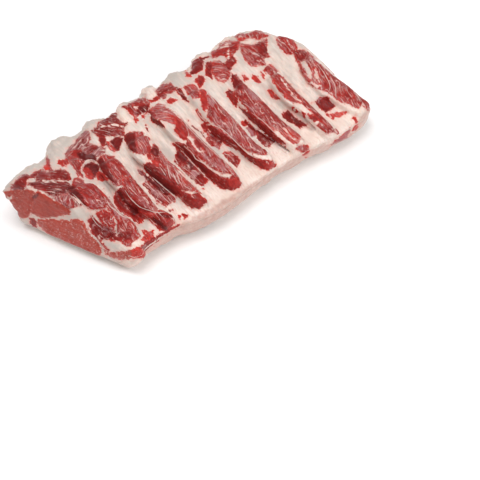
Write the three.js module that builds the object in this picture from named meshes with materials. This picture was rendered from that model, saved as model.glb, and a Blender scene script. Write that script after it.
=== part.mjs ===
// A boneless beef rib roast, lying on its fat cap with the rib side up.
//
// Millimetres, +Z up. X runs along the backbone, +Y points to the backbone (chine) edge and -Y to the
// front edge. The underside lies on Z = 0. The solids are drawn about a middle line at Y = 0, and the
// whole is then moved so that the origin is the centre of its footprint box.
// Two solids: the lean, with the smooth beds that the ribs were lifted from and the strips of meat that
// stood between them, and the fat cap, a layer that wraps the underside and the front edge.

import * as THREE from 'three';

// ---- Driving dimensions -----------------------------------------------------------------------------

const RIB_PITCH = 48.8;            // from one rib to the next
const STRIP_COUNT = 8;             // strips of meat left standing beside the seven ribs
const FIRST_STRIP_X = -155;        // middle of the first strip, at the eye end
const EYE_END_X = -191.2;          // where the eye-end cut crosses the roast's middle line
const EYE_END_SKEW = 0.394;        // the eye-end cut runs aslant: this many mm along for each mm across
const FAR_END_X = 224;             // the far cut, square to the length
const BACK_REACH = 97;             // mean distance from the middle line to the backbone edge
const FRONT_REACH = 101;           // mean distance from the middle line to the front edge

const CREST_HEIGHT = 68;           // rib beds above the underside, near the backbone
const SHELF_HEIGHT = 42;           // the front edge's shelf
const EYE_HEIGHT = 80;             // the eye muscle at its cut
const LIP_HEIGHT = 50;             // the thin front part of the eye-end cut
const BACK_RIM_HEIGHT = 55;        // widest line of the backbone edge
const FRONT_RIM_HEIGHT = 38;       // widest line of the front edge
const BACK_TUCK = 58;              // how far the backbone flank runs in to the flat underside
const FRONT_TUCK = 35;             // how far the front flank does

const STRIP_TOP_HALF = 10.5;       // half the width of a strip's top
const STRIP_FOOT_HALF = 18;        // and of its foot between two rib beds
const STRIP_HEIGHT_AT_HEAD = 9;    // how far a strip stands above the beds, near the backbone
const STRIP_HEIGHT_AT_TIP = 15;    // and near the front edge
const STRIP_HEAD_Y = 52;           // the strips' two ends
const STRIP_TIP_Y = -92;
const STRIP_SHOULDER = 5;          // length of the slope at a strip's tip
const SCALLOP_DEPTH = 4.5;         // the backbone edge bulges this much beside each rib

const CAP_THIN = 4;                // the fat cap below the eye muscle
const CAP_THICK = 10.5;            // and at the front edge
const CAP_EDGE = 1.6;              // its feathered edge on the backbone flank
const CAP_GAP = 0.35;              // clearance between the two solids

// How finely the surfaces are divided.
const TOP_STEPS = 28;
const CAP_STEPS = 13;
const FLANK_STEPS = 3;
const END_STATIONS = 3;            // extra stations close to each cut

const LEAN_COLOUR = 0x9c3437;
const FAT_COLOUR = 0xe9dccb;

// ---- Small helpers ----------------------------------------------------------------------------------

const { clamp, lerp, smoothstep } = THREE.MathUtils;

/** One raised-cosine bump of the given half width, centred on zero. */
const bump = (distance, halfWidth) =>
  Math.abs(distance) >= halfWidth ? 0 : 0.5 + 0.5 * Math.cos((Math.PI * distance) / halfWidth);

/** The middle of strip number k, counted from the eye end. */
const stripX = (k) => FIRST_STRIP_X + k * RIB_PITCH;

// ---- Plan of the roast: where its two long edges lie -------------------------------------------------

const BACK_NARROW = 31;            // the backbone edge runs in by this much at the eye end
const BACK_NARROW_FROM = -115;     // and starts to do so here
const BACK_NARROW_LENGTH = 104;
const BACK_WIDEN = 12;             // it runs out again by this much towards the far end
const BACK_CORNER = 70;            // the long rounded corner where it meets the far cut
const BACK_CORNER_DROP = 54;
const FRONT_SWELLS = [             // two places where the front edge bulges
  { x: -42, half: 52, depth: 5 },
  { x: 160, half: 70, depth: 6 },
];
const FRONT_CORNER = 30;           // rounded corner of the front edge at the far cut
const FRONT_CORNER_DROP = 12;

/** How far the backbone edge lies from the middle line at a place along the roast. */
function backReach(x) {
  const scallop = SCALLOP_DEPTH * Math.cos((2 * Math.PI * (x - FIRST_STRIP_X)) / RIB_PITCH);
  const widening = BACK_WIDEN * (smoothstep(x, -50, 120) - 0.5);
  const narrowing = BACK_NARROW * clamp((BACK_NARROW_FROM - x) / BACK_NARROW_LENGTH, 0, 1) ** 1.3;
  const corner = BACK_CORNER_DROP * clamp((x - (FAR_END_X - BACK_CORNER)) / BACK_CORNER, 0, 1) ** 1.7;
  return BACK_REACH + scallop + widening - narrowing - corner;
}

/** How far the front edge lies from the middle line. */
function frontReach(x) {
  const swell = FRONT_SWELLS.reduce((sum, s) => sum + s.depth * bump(x - s.x, s.half), 0);
  const corner = FRONT_CORNER_DROP * clamp((x - (FAR_END_X - FRONT_CORNER)) / FRONT_CORNER, 0, 1) ** 2;
  return FRONT_REACH + swell - corner;
}

// ---- The upper surface -------------------------------------------------------------------------------

const BED_FOOT = 115;              // the beds slope down to the shelf between these two lines
const BED_HEAD = 45;
const BACK_ROUNDING = 30;          // width of the rounding beside the backbone edge
const EYE_BLOCK_LENGTH = 62;       // the tall eye end falls off to the beds over this length
const EYE_BLOCK_FRONT = [-50, -20]; // its slope down to the lip
const NOTCH_DEPTH = 9;             // a hollow at the foot of that slope
const NOTCH_Y = -57;
const FAR_ROUNDING = 20;           // the upper surface rolls over into the far cut within this length
const FAR_DROP = 28;               // and drops this far, or less beside the front edge
const FAR_DROP_FRONT = 9;

/** Height of a strip of meat over the bed level, at one place. */
function stripHeight(x, y) {
  const fromTip = smoothstep(y, STRIP_TIP_Y - STRIP_SHOULDER, STRIP_TIP_Y + STRIP_SHOULDER);
  const fromHead = 1 - smoothstep(y, STRIP_HEAD_Y - STRIP_SHOULDER, STRIP_HEAD_Y + 2 * STRIP_SHOULDER);
  const share = clamp((y - STRIP_TIP_Y) / (STRIP_HEAD_Y - STRIP_TIP_Y), 0, 1);
  let across = 0;
  for (let k = 0; k < STRIP_COUNT; k++) {
    across = Math.max(across, 1 - smoothstep(Math.abs(x - stripX(k)), STRIP_TOP_HALF, STRIP_FOOT_HALF));
  }
  return lerp(STRIP_HEIGHT_AT_TIP, STRIP_HEIGHT_AT_HEAD, share) * fromTip * fromHead * across;
}

/** How far the upper surface drops as it rolls over into the far cut, less beside the low front edge. */
function farDrop(intoCut, y) {
  const share = 1 - Math.sqrt(1 - 0.98 * intoCut ** 2);
  return share * lerp(FAR_DROP_FRONT, FAR_DROP, smoothstep(y, -100, -20));
}

/** Height of the upper surface above the underside, where the backbone edge lies back from the middle. */
function topHeight(x, y, back) {
  const slope = smoothstep(y, -BED_FOOT, BED_HEAD);
  let height = lerp(SHELF_HEIGHT, CREST_HEIGHT, slope) + stripHeight(x, y);

  const fromEyeCut = x - (EYE_END_X - EYE_END_SKEW * y);
  const nearEyeCut = 1 - smoothstep(fromEyeCut, 4, EYE_BLOCK_LENGTH);
  const eyeProfile = lerp(LIP_HEIGHT, EYE_HEIGHT, smoothstep(y, EYE_BLOCK_FRONT[0], EYE_BLOCK_FRONT[1]))
    - NOTCH_DEPTH * bump(y - NOTCH_Y, 14);
  height = lerp(height, eyeProfile, nearEyeCut);

  const intoRim = clamp((y - (back - BACK_ROUNDING)) / BACK_ROUNDING, 0, 1);
  const intoFarCut = clamp((x - (FAR_END_X - FAR_ROUNDING)) / FAR_ROUNDING, 0, 1);
  return lerp(height, BACK_RIM_HEIGHT, intoRim ** 2.2) - farDrop(intoFarCut, y);
}

// ---- The cross-section -------------------------------------------------------------------------------

const FRONT_TURN = 0.36;           // shares of the lower outline taken by its two rounded flanks
const BACK_TURN = 0.38;

/** The whole roast's lower outline from the front rim (t = 0) to the backbone rim (t = 1). */
function lowerOutline({ front, back }, t) {
  if (t < FRONT_TURN) {
    const angle = (t / FRONT_TURN) * (Math.PI / 2);
    return [-front + FRONT_TUCK * (1 - Math.cos(angle)), FRONT_RIM_HEIGHT * (1 - Math.sin(angle))];
  }
  if (t < 1 - BACK_TURN) {
    const across = (t - FRONT_TURN) / (1 - BACK_TURN - FRONT_TURN);
    return [lerp(-front + FRONT_TUCK, back - BACK_TUCK, across), 0];
  }
  const angle = ((1 - t) / BACK_TURN) * (Math.PI / 2);
  return [back - BACK_TUCK * (1 - Math.cos(angle)), BACK_RIM_HEIGHT * (1 - Math.sin(angle))];
}

/** The same outline moved in by a depth, square to itself. */
function insetOutline(station, t, depth) {
  const step = 1e-3;
  const [y0, z0] = lowerOutline(station, Math.max(0, t - step));
  const [y1, z1] = lowerOutline(station, Math.min(1, t + step));
  const length = Math.hypot(y1 - y0, z1 - z0);
  const [y, z] = lowerOutline(station, t);
  return [y - ((z1 - z0) / length) * depth, z + ((y1 - y0) / length) * depth];
}

const CAP_FROM = 0.035;            // the fat cap starts just under the front rim
const CAP_TO = 0.84;               // and ends part of the way up the backbone flank
const LIP_CLEARANCE = 0.004;       // the shelf's lip stays this much of the outline above the cap

/** Thickness of the fat cap at a place on the lower outline. */
function capThickness(t) {
  const body = lerp(CAP_THICK, CAP_THIN, smoothstep(t, 0.18, 0.5));
  return lerp(body, CAP_EDGE, smoothstep(t, 0.66, CAP_TO));
}

const capStep = (i) => lerp(CAP_FROM, CAP_TO, i / CAP_STEPS);

/** The cap's ring: its outer face from front to back, then its inner face from back to front. */
function capSection(station) {
  const steps = Array.from({ length: CAP_STEPS + 1 }, (_, i) => capStep(i));
  const outer = steps.map((t) => lowerOutline(station, t));
  const inner = steps.map((t) => insetOutline(station, t, capThickness(t)));
  return [...outer, ...inner.reverse()];
}

/** The lean's ring: over the top from the backbone rim to the front rim, then back along the cap. */
function leanSection(station) {
  const { x, shear, back, front } = station;
  const ring = [];
  for (let i = 0; i <= TOP_STEPS; i++) {
    const share = i / TOP_STEPS;
    const eased = lerp(share, 0.5 - 0.5 * Math.cos(Math.PI * share), 0.35);
    const y = lerp(back, -front, eased);
    ring.push([y, topHeight(x - shear * y, y, back)]);
  }
  const lip = CAP_FROM - LIP_CLEARANCE;
  ring.push(lowerOutline(station, lip), insetOutline(station, lip, capThickness(lip) + CAP_GAP));
  for (let i = 0; i <= CAP_STEPS; i++) {
    ring.push(insetOutline(station, capStep(i), capThickness(capStep(i)) + CAP_GAP));
  }
  for (let i = 1; i <= FLANK_STEPS; i++) {
    ring.push(lowerOutline(station, lerp(CAP_TO, 1, (i - 0.35) / FLANK_STEPS)));
  }
  return ring;
}

// ---- Stations along the length -----------------------------------------------------------------------

const SKEW_FADE = 110;             // the aslant cut straightens out over this length

/** A reach found where a slanted plane meets that edge, not where it meets the middle line. */
function slantedReach(reachAt, x, shear, side) {
  let reach = reachAt(x);
  for (let pass = 0; pass < 4; pass++) reach = reachAt(x - side * shear * reach);
  return reach;
}

/** The stations along the middle line, each with its plane's slant and its reach to both edges. */
function stations() {
  const places = [EYE_END_X, FAR_END_X];
  for (let i = 1; i <= END_STATIONS; i++) {
    places.push(EYE_END_X + 4 * i, FAR_END_X - FAR_ROUNDING * (i / END_STATIONS) ** 2);
  }
  const acrossStrip = [-RIB_PITCH / 2, -STRIP_FOOT_HALF, -STRIP_TOP_HALF, 0, STRIP_TOP_HALF, STRIP_FOOT_HALF];
  for (let k = -1; k <= STRIP_COUNT; k++) {
    for (const offset of acrossStrip) {
      const x = stripX(k) + offset;
      if (x > EYE_END_X + 16 && x < FAR_END_X - FAR_ROUNDING - 3) places.push(x);
    }
  }
  places.sort((a, b) => a - b);
  return places.map((x) => {
    const shear = EYE_END_SKEW * (1 - smoothstep(x, EYE_END_X, EYE_END_X + SKEW_FADE));
    const back = slantedReach(backReach, x, shear, 1);
    const front = slantedReach(frontReach, x, shear, -1);
    return { x, shear, back, front };
  });
}

/** Skins a closed solid through one ring per station, and shuts both ends with a fan. */
function loft(ringAt) {
  const rings = stations().map((station) =>
    ringAt(station).map(([y, z]) => new THREE.Vector3(station.x - station.shear * y, y, z)));
  const count = rings[0].length;
  const positions = rings.flat();
  const index = [];
  for (let s = 0; s + 1 < rings.length; s++) {
    for (let i = 0; i < count; i++) {
      const j = (i + 1) % count;
      const [a, b, c, d] = [s * count + i, s * count + j, (s + 1) * count + j, (s + 1) * count + i];
      index.push(a, b, c, a, c, d);
    }
  }
  return { rings, count, positions, index };
}

/** Turns points and triangle indices into a geometry with normals. */
function toGeometry(positions, index) {
  const coordinates = positions.flatMap((p) => p.toArray());
  const geometry = new THREE.BufferGeometry();
  geometry.setAttribute('position', new THREE.Float32BufferAttribute(coordinates, 3));
  geometry.setIndex(index);
  geometry.computeVertexNormals();
  return geometry;
}

/** Shuts the lean's two cuts with a fan around a point in the middle of each. */
function leanGeometry() {
  const { rings, count, positions, index } = loft(leanSection);
  const last = (rings.length - 1) * count;
  for (const [ring, first, flip] of [[rings[0], 0, false], [rings[rings.length - 1], last, true]]) {
    const middle = ring.reduce((sum, p) => sum.add(p), new THREE.Vector3()).divideScalar(count);
    positions.push(middle);
    const centre = positions.length - 1;
    for (let i = 0; i < count; i++) {
      const j = (i + 1) % count;
      index.push(...(flip ? [centre, first + i, first + j] : [centre, first + j, first + i]));
    }
  }
  return toGeometry(positions, index);
}

/** Shuts the cap's two crescent ends with strips from its outer face to its inner one. */
function capGeometry() {
  const { rings, count, positions, index } = loft(capSection);
  const last = (rings.length - 1) * count;
  for (const [first, flip] of [[0, false], [last, true]]) {
    for (let i = 0; i < CAP_STEPS; i++) {
      const [a, b, c, d] = [i, i + 1, count - 2 - i, count - 1 - i].map((k) => first + k);
      index.push(...(flip ? [a, b, c, a, c, d] : [a, c, b, a, d, c]));
    }
  }
  return toGeometry(positions, index);
}

// ---- The roast ---------------------------------------------------------------------------------------

/** One solid of the roast with its own finish. */
function piece(name, geometry, colour, roughness) {
  const finish = new THREE.MeshStandardMaterial({ color: colour, roughness, metalness: 0 });
  const mesh = new THREE.Mesh(geometry, finish);
  mesh.name = name;
  return mesh;
}

const roast = new THREE.Group();
roast.add(piece('lean', leanGeometry(), LEAN_COLOUR, 0.42));
roast.add(piece('fat_cap', capGeometry(), FAT_COLOUR, 0.5));

const footprint = new THREE.Box3().setFromObject(roast).getCenter(new THREE.Vector3());
roast.position.set(-footprint.x, -footprint.y, 0);

export default roast;
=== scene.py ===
"""A boneless beef rib roast, raw, lying on its fat cap with the rib side up.

The lean and the fat cap are each grown as a solid distance field from the roast's own sections, turned
into a fine mesh, and given their relief and tissue by outlined lobes of muscle, fat and membrane.
Strands of fascia are laid on the lean by Geometry Nodes.

Lengths are in millimetres until a mesh is made, which is in metres. The sections are drawn about the
roast's middle line; `RoastForm.centre` moves them so that the origin is the middle of the footprint.
Marks on the surface are outlined in the pixels of the 480 x 480 frame that `Viewpoint` looks through.
"""

import logging
import math
from dataclasses import dataclass, field
from enum import Enum
from typing import Callable

import bpy
import numpy as np
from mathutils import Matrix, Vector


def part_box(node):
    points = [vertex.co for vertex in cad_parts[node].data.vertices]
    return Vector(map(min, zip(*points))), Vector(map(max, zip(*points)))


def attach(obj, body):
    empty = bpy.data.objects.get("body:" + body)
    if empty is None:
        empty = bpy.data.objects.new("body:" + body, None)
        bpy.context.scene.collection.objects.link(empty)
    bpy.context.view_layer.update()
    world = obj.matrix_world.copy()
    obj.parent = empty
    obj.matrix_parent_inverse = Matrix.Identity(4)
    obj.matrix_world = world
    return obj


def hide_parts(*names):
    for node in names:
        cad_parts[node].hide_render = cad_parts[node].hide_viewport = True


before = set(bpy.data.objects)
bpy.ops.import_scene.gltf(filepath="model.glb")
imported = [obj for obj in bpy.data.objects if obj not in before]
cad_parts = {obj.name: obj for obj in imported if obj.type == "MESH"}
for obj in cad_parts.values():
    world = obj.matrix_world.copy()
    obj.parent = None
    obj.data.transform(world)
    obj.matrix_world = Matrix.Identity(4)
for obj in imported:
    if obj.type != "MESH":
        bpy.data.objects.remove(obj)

import openvdb as vdb
from mathutils import Vector
from mathutils.bvhtree import BVHTree

log = logging.getLogger("rib_roast")

MM = 0.001                      # metres in a millimetre
BODY = "root"                   # the one body that every piece rides on
RIB_ANGLE = 46.0                # degrees clockwise from the frame's right: how the ribs lay

Array = np.ndarray
Outline = tuple[float, ...]     # across and down, in turn
Triple = tuple[float, float, float]
Range = tuple[float, float]


# ---- Objects in the scene ----

def placed(name: str, data: bpy.types.ID) -> bpy.types.Object:
    """Makes an object and links it to the scene."""
    thing = bpy.data.objects.new(name, data)
    bpy.context.scene.collection.objects.link(thing)
    return thing


def aim(thing: bpy.types.Object, place: Vector, back: Vector) -> None:
    """Stands a camera or a light at a place, with its back turned along a direction."""
    thing.location = place
    thing.rotation_mode = "QUATERNION"
    thing.rotation_quaternion = back.to_track_quat("Z", "Y")


def applied(piece: bpy.types.Object) -> bpy.types.Mesh:
    """A new mesh of an object with its modifiers applied."""
    return bpy.data.meshes.new_from_object(piece.evaluated_get(bpy.context.evaluated_depsgraph_get()))


# ---- Arithmetic on arrays ----

def smoothstep(value: Array, low: float, high: float) -> Array:
    """Eases from 0 at `low` to 1 at `high`."""
    share = np.clip((value - low) / (high - low), 0.0, 1.0)
    return share * share * (3.0 - 2.0 * share)


def lerp(start: Array, end: Array, share: Array) -> Array:
    """Goes from `start` to `end` by a share."""
    return start + (end - start) * share


def bump(distance: Array, half_width: float) -> Array:
    """One raised-cosine bump of the given half width, centred on zero."""
    return 0.5 + 0.5 * np.cos(np.pi * np.clip(np.abs(distance) / half_width, 0.0, 1.0))


def soft_max(first: Array, second: Array, radius: float) -> Array:
    """The larger of two fields, with the edge between them rounded.

    Args:
        first: One distance field.
        second: The other.
        radius: Width of the rounding, in the fields' own unit.

    Returns:
        The field of what both solids share.
    """
    return 0.5 * (first + second + np.sqrt((first - second) ** 2 + radius * radius))


class Noise:
    """Smooth noise in three dimensions, the same for the same seed."""

    def __init__(self, seed: int) -> None:
        """Draws the lattice.

        Args:
            seed: Which noise it is.
        """
        draw = np.random.default_rng(seed)
        self.order = np.concatenate([draw.permutation(256)] * 3)
        slopes = draw.normal(size=(256, 3))
        self.slopes = slopes / np.linalg.norm(slopes, axis=1, keepdims=True)

    def at(self, points: Array) -> Array:
        """One octave.

        Args:
            points: Places, one row each, in units of the noise's wavelength.

        Returns:
            Values of about -0.7 to 0.7.
        """
        cell = np.floor(points).astype(np.int64)
        inside = points - cell
        eased = inside ** 3 * (inside * (inside * 6.0 - 15.0) + 10.0)
        total = np.zeros(len(points))
        for corner in np.ndindex(2, 2, 2):
            x, y, z = ((cell + corner) & 255).T
            slope = self.slopes[self.order[self.order[self.order[x] + y] + z]]
            weight = np.prod(np.where(corner, eased, 1.0 - eased), axis=1)
            total += weight * np.einsum("ij,ij->i", slope, inside - corner)
        return total

    def octaves(self, points: Array, wavelength: float, count: int = 3) -> Array:
        """Several octaves, each half the size and half the strength of the one before.

        Args:
            points: Places in millimetres, one row each.
            wavelength: Size of the coarsest octave, in millimetres.
            count: How many octaves.

        Returns:
            Values of about -1 to 1.
        """
        total = np.zeros(len(points))
        for step in range(count):
            total += self.at(points * (2.0 ** step / wavelength) + 17.3 * step) / 2.0 ** step
        return total


# ---- Outlines ----

def rounded(course: Outline, steps: int = 4) -> Array:
    """Runs a smooth curve through the points of an open course.

    Args:
        course: The course.
        steps: Pieces between one point and the next.

    Returns:
        The curve's points, one row each.
    """
    given = np.array(course, float).reshape(-1, 2)
    padded = np.vstack([given[:1], given, given[-1:]])
    before, knots, after, beyond = padded[:-3], given[:-1], padded[2:-1], padded[3:]
    curve = []
    for share in np.arange(steps) / steps:
        bend = (2.0 * before - 5.0 * knots + 4.0 * after - beyond) * share ** 2
        twist = (3.0 * knots - before - 3.0 * after + beyond) * share ** 3
        curve.append(0.5 * (2.0 * knots + (after - before) * share + bend + twist))
    return np.vstack([np.stack(curve, axis=1).reshape(-1, 2), given[-1:]])


def distance_to(path: Array, at: Array, closed: bool = True) -> Array:
    """Distance of places from a path.

    Args:
        path: The path's points, one row each.
        at: The places, one row each.
        closed: Whether the path is a loop; if it is, the distance is positive inside and negative outside.

    Returns:
        One distance for each place.
    """
    start = path if closed else path[:-1]
    end = np.roll(path, -1, axis=0) if closed else path[1:]
    span = end - start
    length = np.maximum(np.einsum("ij,ij->i", span, span), 1e-9)
    offset = at[:, None, :] - start[None]
    share = np.clip(np.einsum("nij,ij->ni", offset, span) / length, 0.0, 1.0)
    gap = offset - share[..., None] * span
    distance = np.sqrt(np.einsum("nij,nij->ni", gap, gap).min(axis=1))
    if not closed:
        return distance
    height = at[:, 1:2]
    crossed = (start[:, 1] <= height) != (end[:, 1] <= height)
    rise = np.where(np.abs(span[:, 1]) < 1e-9, 1e-9, span[:, 1])
    meets = start[:, 0] + (height - start[:, 1]) / rise * span[:, 0]
    inside = np.count_nonzero(crossed & (at[:, 0:1] < meets), axis=1) % 2 == 1
    return np.where(inside, distance, -distance)


def near(path: Array, at: Array, margin: float) -> Array:
    """Which places lie within a margin of a path's box, as indices."""
    low, high = path.min(axis=0) - margin, path.max(axis=0) + margin
    return np.nonzero(np.all((at > low) & (at < high), axis=1))[0]


# ---- The camera ----

@dataclass(frozen=True)
class Viewpoint:
    """The one place that the roast is outlined from, and the camera that stands there."""

    azimuth: float = -39.5          # degrees about the vertical; 0 looks along +Y
    elevation: float = 48.0         # degrees above the floor
    distance: float = 2101.0        # mm from the target
    target: Triple = (-41.53, -157.97, 38.0)
    lens: float = 136.95            # mm, on a sensor 36 mm wide
    sensor: float = 36.0
    frame_pixels: float = 480.0
    furthest: float = 20.0          # metres that the camera sees
    first_height: float = 60.0      # mm: where `drape` starts to look for a surface
    rounds: int = 14                # and how often it looks again, going half of the way each time

    @property
    def right(self) -> Array:
        """Direction of the frame's right side."""
        turn = math.radians(self.azimuth)
        return np.array((math.cos(turn), math.sin(turn), 0.0))

    @property
    def forward(self) -> Array:
        """Horizontal direction away from the camera."""
        turn = math.radians(self.azimuth)
        return np.array((-math.sin(turn), math.cos(turn), 0.0))

    @property
    def toward(self) -> Array:
        """Direction from the target to the camera."""
        rise = math.radians(self.elevation)
        return np.array((0.0, 0.0, math.sin(rise))) - self.forward * math.cos(rise)

    @property
    def up(self) -> Array:
        """Direction of the frame's top."""
        return np.cross(self.toward, self.right)

    @property
    def place(self) -> Array:
        """Where the camera stands."""
        return np.array(self.target) + self.toward * self.distance

    @property
    def pixels_at_unit(self) -> float:
        """Pixels covered by one millimetre, one millimetre away."""
        return self.lens / self.sensor * self.frame_pixels

    def project(self, points: Array) -> tuple[Array, Array]:
        """Where points fall in the frame.

        Args:
            points: Places in millimetres, one row each.

        Returns:
            Their pixels, one row each, and their distances along the view.
        """
        offset = points - self.place
        depth = -(offset @ self.toward)
        middle = self.frame_pixels / 2
        column = middle + self.pixels_at_unit * (offset @ self.right) / depth
        row = middle - self.pixels_at_unit * (offset @ self.up) / depth
        return np.stack([column, row], axis=1), depth

    def rays(self, pixels: Array) -> Array:
        """Directions from the camera through pixels, one row each."""
        middle = self.frame_pixels / 2
        across = (pixels[:, 0:1] - middle) / self.pixels_at_unit
        down = (pixels[:, 1:2] - middle) / self.pixels_at_unit
        return across * self.right - down * self.up - self.toward

    def drape(self, pixels: Array, height_at: Callable[[Array, Array], Array]) -> Array:
        """Drops pixels onto a surface.

        Args:
            pixels: Places in the frame, one row each.
            height_at: Gives the surface's height at x and y.

        Returns:
            Places on the surface, one row each.
        """
        rays = self.rays(pixels)
        height = np.full(len(pixels), self.first_height)
        for _ in range(self.rounds):
            reach = (height - self.place[2]) / rays[:, 2]
            found = self.place + rays * reach[:, None]
            height = 0.5 * height + 0.5 * height_at(found[:, 0], found[:, 1])
        return found

    def grain(self, angle: float) -> Array:
        """The level direction that shows at an angle in the frame.

        Args:
            angle: Degrees clockwise from the frame's right side.

        Returns:
            A unit direction in space.
        """
        turn = math.radians(angle)
        direction = math.cos(turn) * self.right - math.sin(turn) / self.toward[2] * self.forward
        return direction / np.linalg.norm(direction)

    def add_camera(self, shift: Array) -> None:
        """Stands the scene's camera here.

        Args:
            shift: Millimetres from the drawn place to the place in the frame of the part.
        """
        camera = placed("camera", bpy.data.cameras.new("camera"))
        camera.data.lens = self.lens
        camera.data.sensor_width = self.sensor
        camera.data.clip_end = self.furthest
        aim(camera, Vector((self.place + shift) * MM), Vector(self.toward))
        bpy.context.scene.camera = camera


# ---- What the surface is made of ----

class Tissue(Enum):
    """What a mark on the surface is made of."""

    # LEAN marks of tone near 1 along the strips' feet and in slots are painted shadow in those crevices.
    LEAN = "lean"                # muscle seen along its fibres
    CUT = "cut"                  # muscle cut across its fibres
    FAT = "fat"                  # cream fat
    FILM = "film"                # a thin grey or lavender membrane over what is there
    STAIN = "stain"              # fat that is bruised or soaked with juice


@dataclass(frozen=True)
class Mark:
    """One lobe, patch or line of tissue, outlined in the frame of the viewpoint."""

    tissue: Tissue
    outline: Outline
    # The darkest tones, on the lines and pockets at the strips' feet and in slots, are painted shade as well
    # as the meat's own dark wine.
    tone: float = 0.45              # 0 bright scarlet, 1 nearly black; of a stain, how strong it is
    film: float = 0.15              # how much membrane veils it
    marbling: float = 0.35          # how much white fat threads it
    grain: float = RIB_ANGLE        # direction of the fibres, degrees clockwise from the frame's right
    bulge: float = 1.0              # mm that its middle stands proud
    width: float = 0.0              # of a line, in pixels; 0 is a closed patch
    edge: float = 0.8               # mm that its border fades over, to each side


LEAN, CUT, FAT, FILM, STAIN = Tissue

FIELDS = ("meat", "tone", "film", "marbling", "stain", "cut")     # what a mesh stores of its surface
PLAIN_FAT = -12.0               # how many mm inside the lean plain fat counts as


@dataclass
class Surface:
    """What is known of each point: how far inside the lean it is, five shares, and its fibres' run."""

    meat: Array                # mm inside the edge of the lean; negative in fat
    tone: Array
    # film also carries painted shade: the grey film laid over the fat of the beds, the rim and the eye end
    film: Array
    marbling: Array
    stain: Array
    cut: Array
    grain: Array               # unit direction of the fibres, one row each

    @classmethod
    def of_fat(cls, count: int, grain: Array) -> "Surface":
        """Plain fat all over.

        Args:
            count: Number of points.
            grain: The direction that its fibres run in.

        Returns:
            A surface to put marks on.
        """
        plain = [np.zeros(count) for _ in range(5)]
        return cls(np.full(count, PLAIN_FAT), *plain, np.tile(grain, (count, 1)))

    def blend(self, other: "Surface", share: Array) -> "Surface":
        """Turns into another surface where the share is 1."""
        fields = [lerp(getattr(self, name), getattr(other, name), share) for name in FIELDS]
        grain = np.where(share[:, None] > 0.5, other.grain, self.grain)
        return Surface(*fields, grain)


@dataclass(frozen=True)
class Ridge:
    """A strip of meat between two rib beds: the borders of its crest and the foot of its near flank."""

    crest_near: Outline
    crest_far: Outline
    foot: Outline
    rise: float = 1.0               # share of the common height

RIDGES = (
    Ridge((72, 187, 79, 193, 86, 204, 92, 211, 100, 218, 110, 230, 120, 238, 129, 246),
          (80, 178, 93, 184, 103, 193, 110, 203, 118, 212, 128, 218, 135, 229, 139, 238),
          (69, 189, 75, 199, 83, 207, 90, 217, 97, 227, 105, 235, 114, 240, 124, 246)),
    Ridge((97, 162, 106, 175, 115, 184, 126, 193, 137, 203, 150, 211, 159, 214, 166, 222),
          (103, 156, 114, 156, 124, 167, 131, 176, 146, 194, 155, 205, 164, 210, 173, 215),
          (95, 168, 103, 178, 110, 186, 115, 196, 124, 207, 137, 215, 150, 224, 163, 231)),
    Ridge((125, 140, 133, 152, 142, 160, 152, 166, 161, 172, 172, 181, 183, 190, 194, 198),
          (137, 131, 147, 135, 156, 145, 166, 158, 178, 168, 190, 180, 199, 190, 206, 198),
          (123, 146, 134, 159, 144, 170, 154, 180, 165, 190, 177, 200, 187, 206, 200, 211)),
    Ridge((150, 112, 157, 119, 165, 126, 174, 135, 186, 144, 204, 160, 220, 171, 234, 177),
          (160, 103, 173, 110, 182, 119, 192, 130, 204, 142, 218, 155, 230, 166, 239, 177),
          (148, 117, 158, 127, 168, 139, 180, 152, 194, 166, 209, 181, 226, 191, 238, 189)),
    Ridge((185, 91, 195, 99, 204, 108, 209, 119, 220, 128, 236, 141, 251, 153, 266, 159),
          (193, 85, 204, 88, 213, 98, 226, 111, 240, 126, 256, 143, 267, 151, 274, 160),
          (181, 96, 190, 106, 199, 117, 208, 131, 221, 142, 238, 152, 256, 166, 270, 170)),
    Ridge((233, 82, 237, 93, 244, 105, 254, 115, 266, 125, 279, 136, 291, 143, 302, 149),
          (240, 77, 248, 87, 260, 98, 272, 111, 287, 125, 298, 134, 305, 141, 309, 146),
          (228, 93, 234, 105, 242, 114, 254, 124, 266, 134, 279, 144, 291, 151, 303, 155)),
    Ridge((266, 71, 273, 81, 281, 92, 289, 101, 299, 106, 308, 114, 317, 122, 327, 130),
          (272, 66, 283, 76, 294, 87, 305, 98, 316, 109, 327, 119, 334, 126, 339, 133),
          (265, 77, 269, 89, 277, 100, 288, 110, 298, 117, 307, 124, 316, 129, 328, 134), 0.8),
    Ridge((297, 55, 303, 68, 311, 79, 321, 88, 333, 94, 345, 102, 357, 107, 367, 110),
          (306, 51, 318, 60, 330, 70, 342, 78, 352, 86, 361, 93, 368, 98, 371, 104),
          (294, 57, 299, 71, 308, 83, 319, 92, 331, 98, 344, 106, 356, 111, 366, 113), 0.55),
)


# ---- The roast's form ----

BACK_RIM = (0.5, 190.5, 10, 180.5, 26, 165, 37, 162, 43, 157, 48, 142.5, 62, 134, 67, 137.5, 79, 131, 83,
            123.5, 91, 119.5, 105, 119, 115, 110, 119, 103, 137, 98, 142, 88.5, 156, 87, 164, 79, 167, 72.5,
            184, 69.5, 191, 61.5, 194, 54.5, 209, 51, 215, 43.5, 225, 36.5, 240, 32, 256, 30, 266, 34.5,
            290, 36, 296, 41)
FRONT_RIM = (128, 267.5, 139, 264, 143.6, 257.5, 166, 242, 177, 236, 192, 231.7, 208, 225, 224, 216, 247,
             198, 271, 179, 299, 162.5, 324, 150.5, 346, 139, 360, 128, 369, 114)


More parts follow.
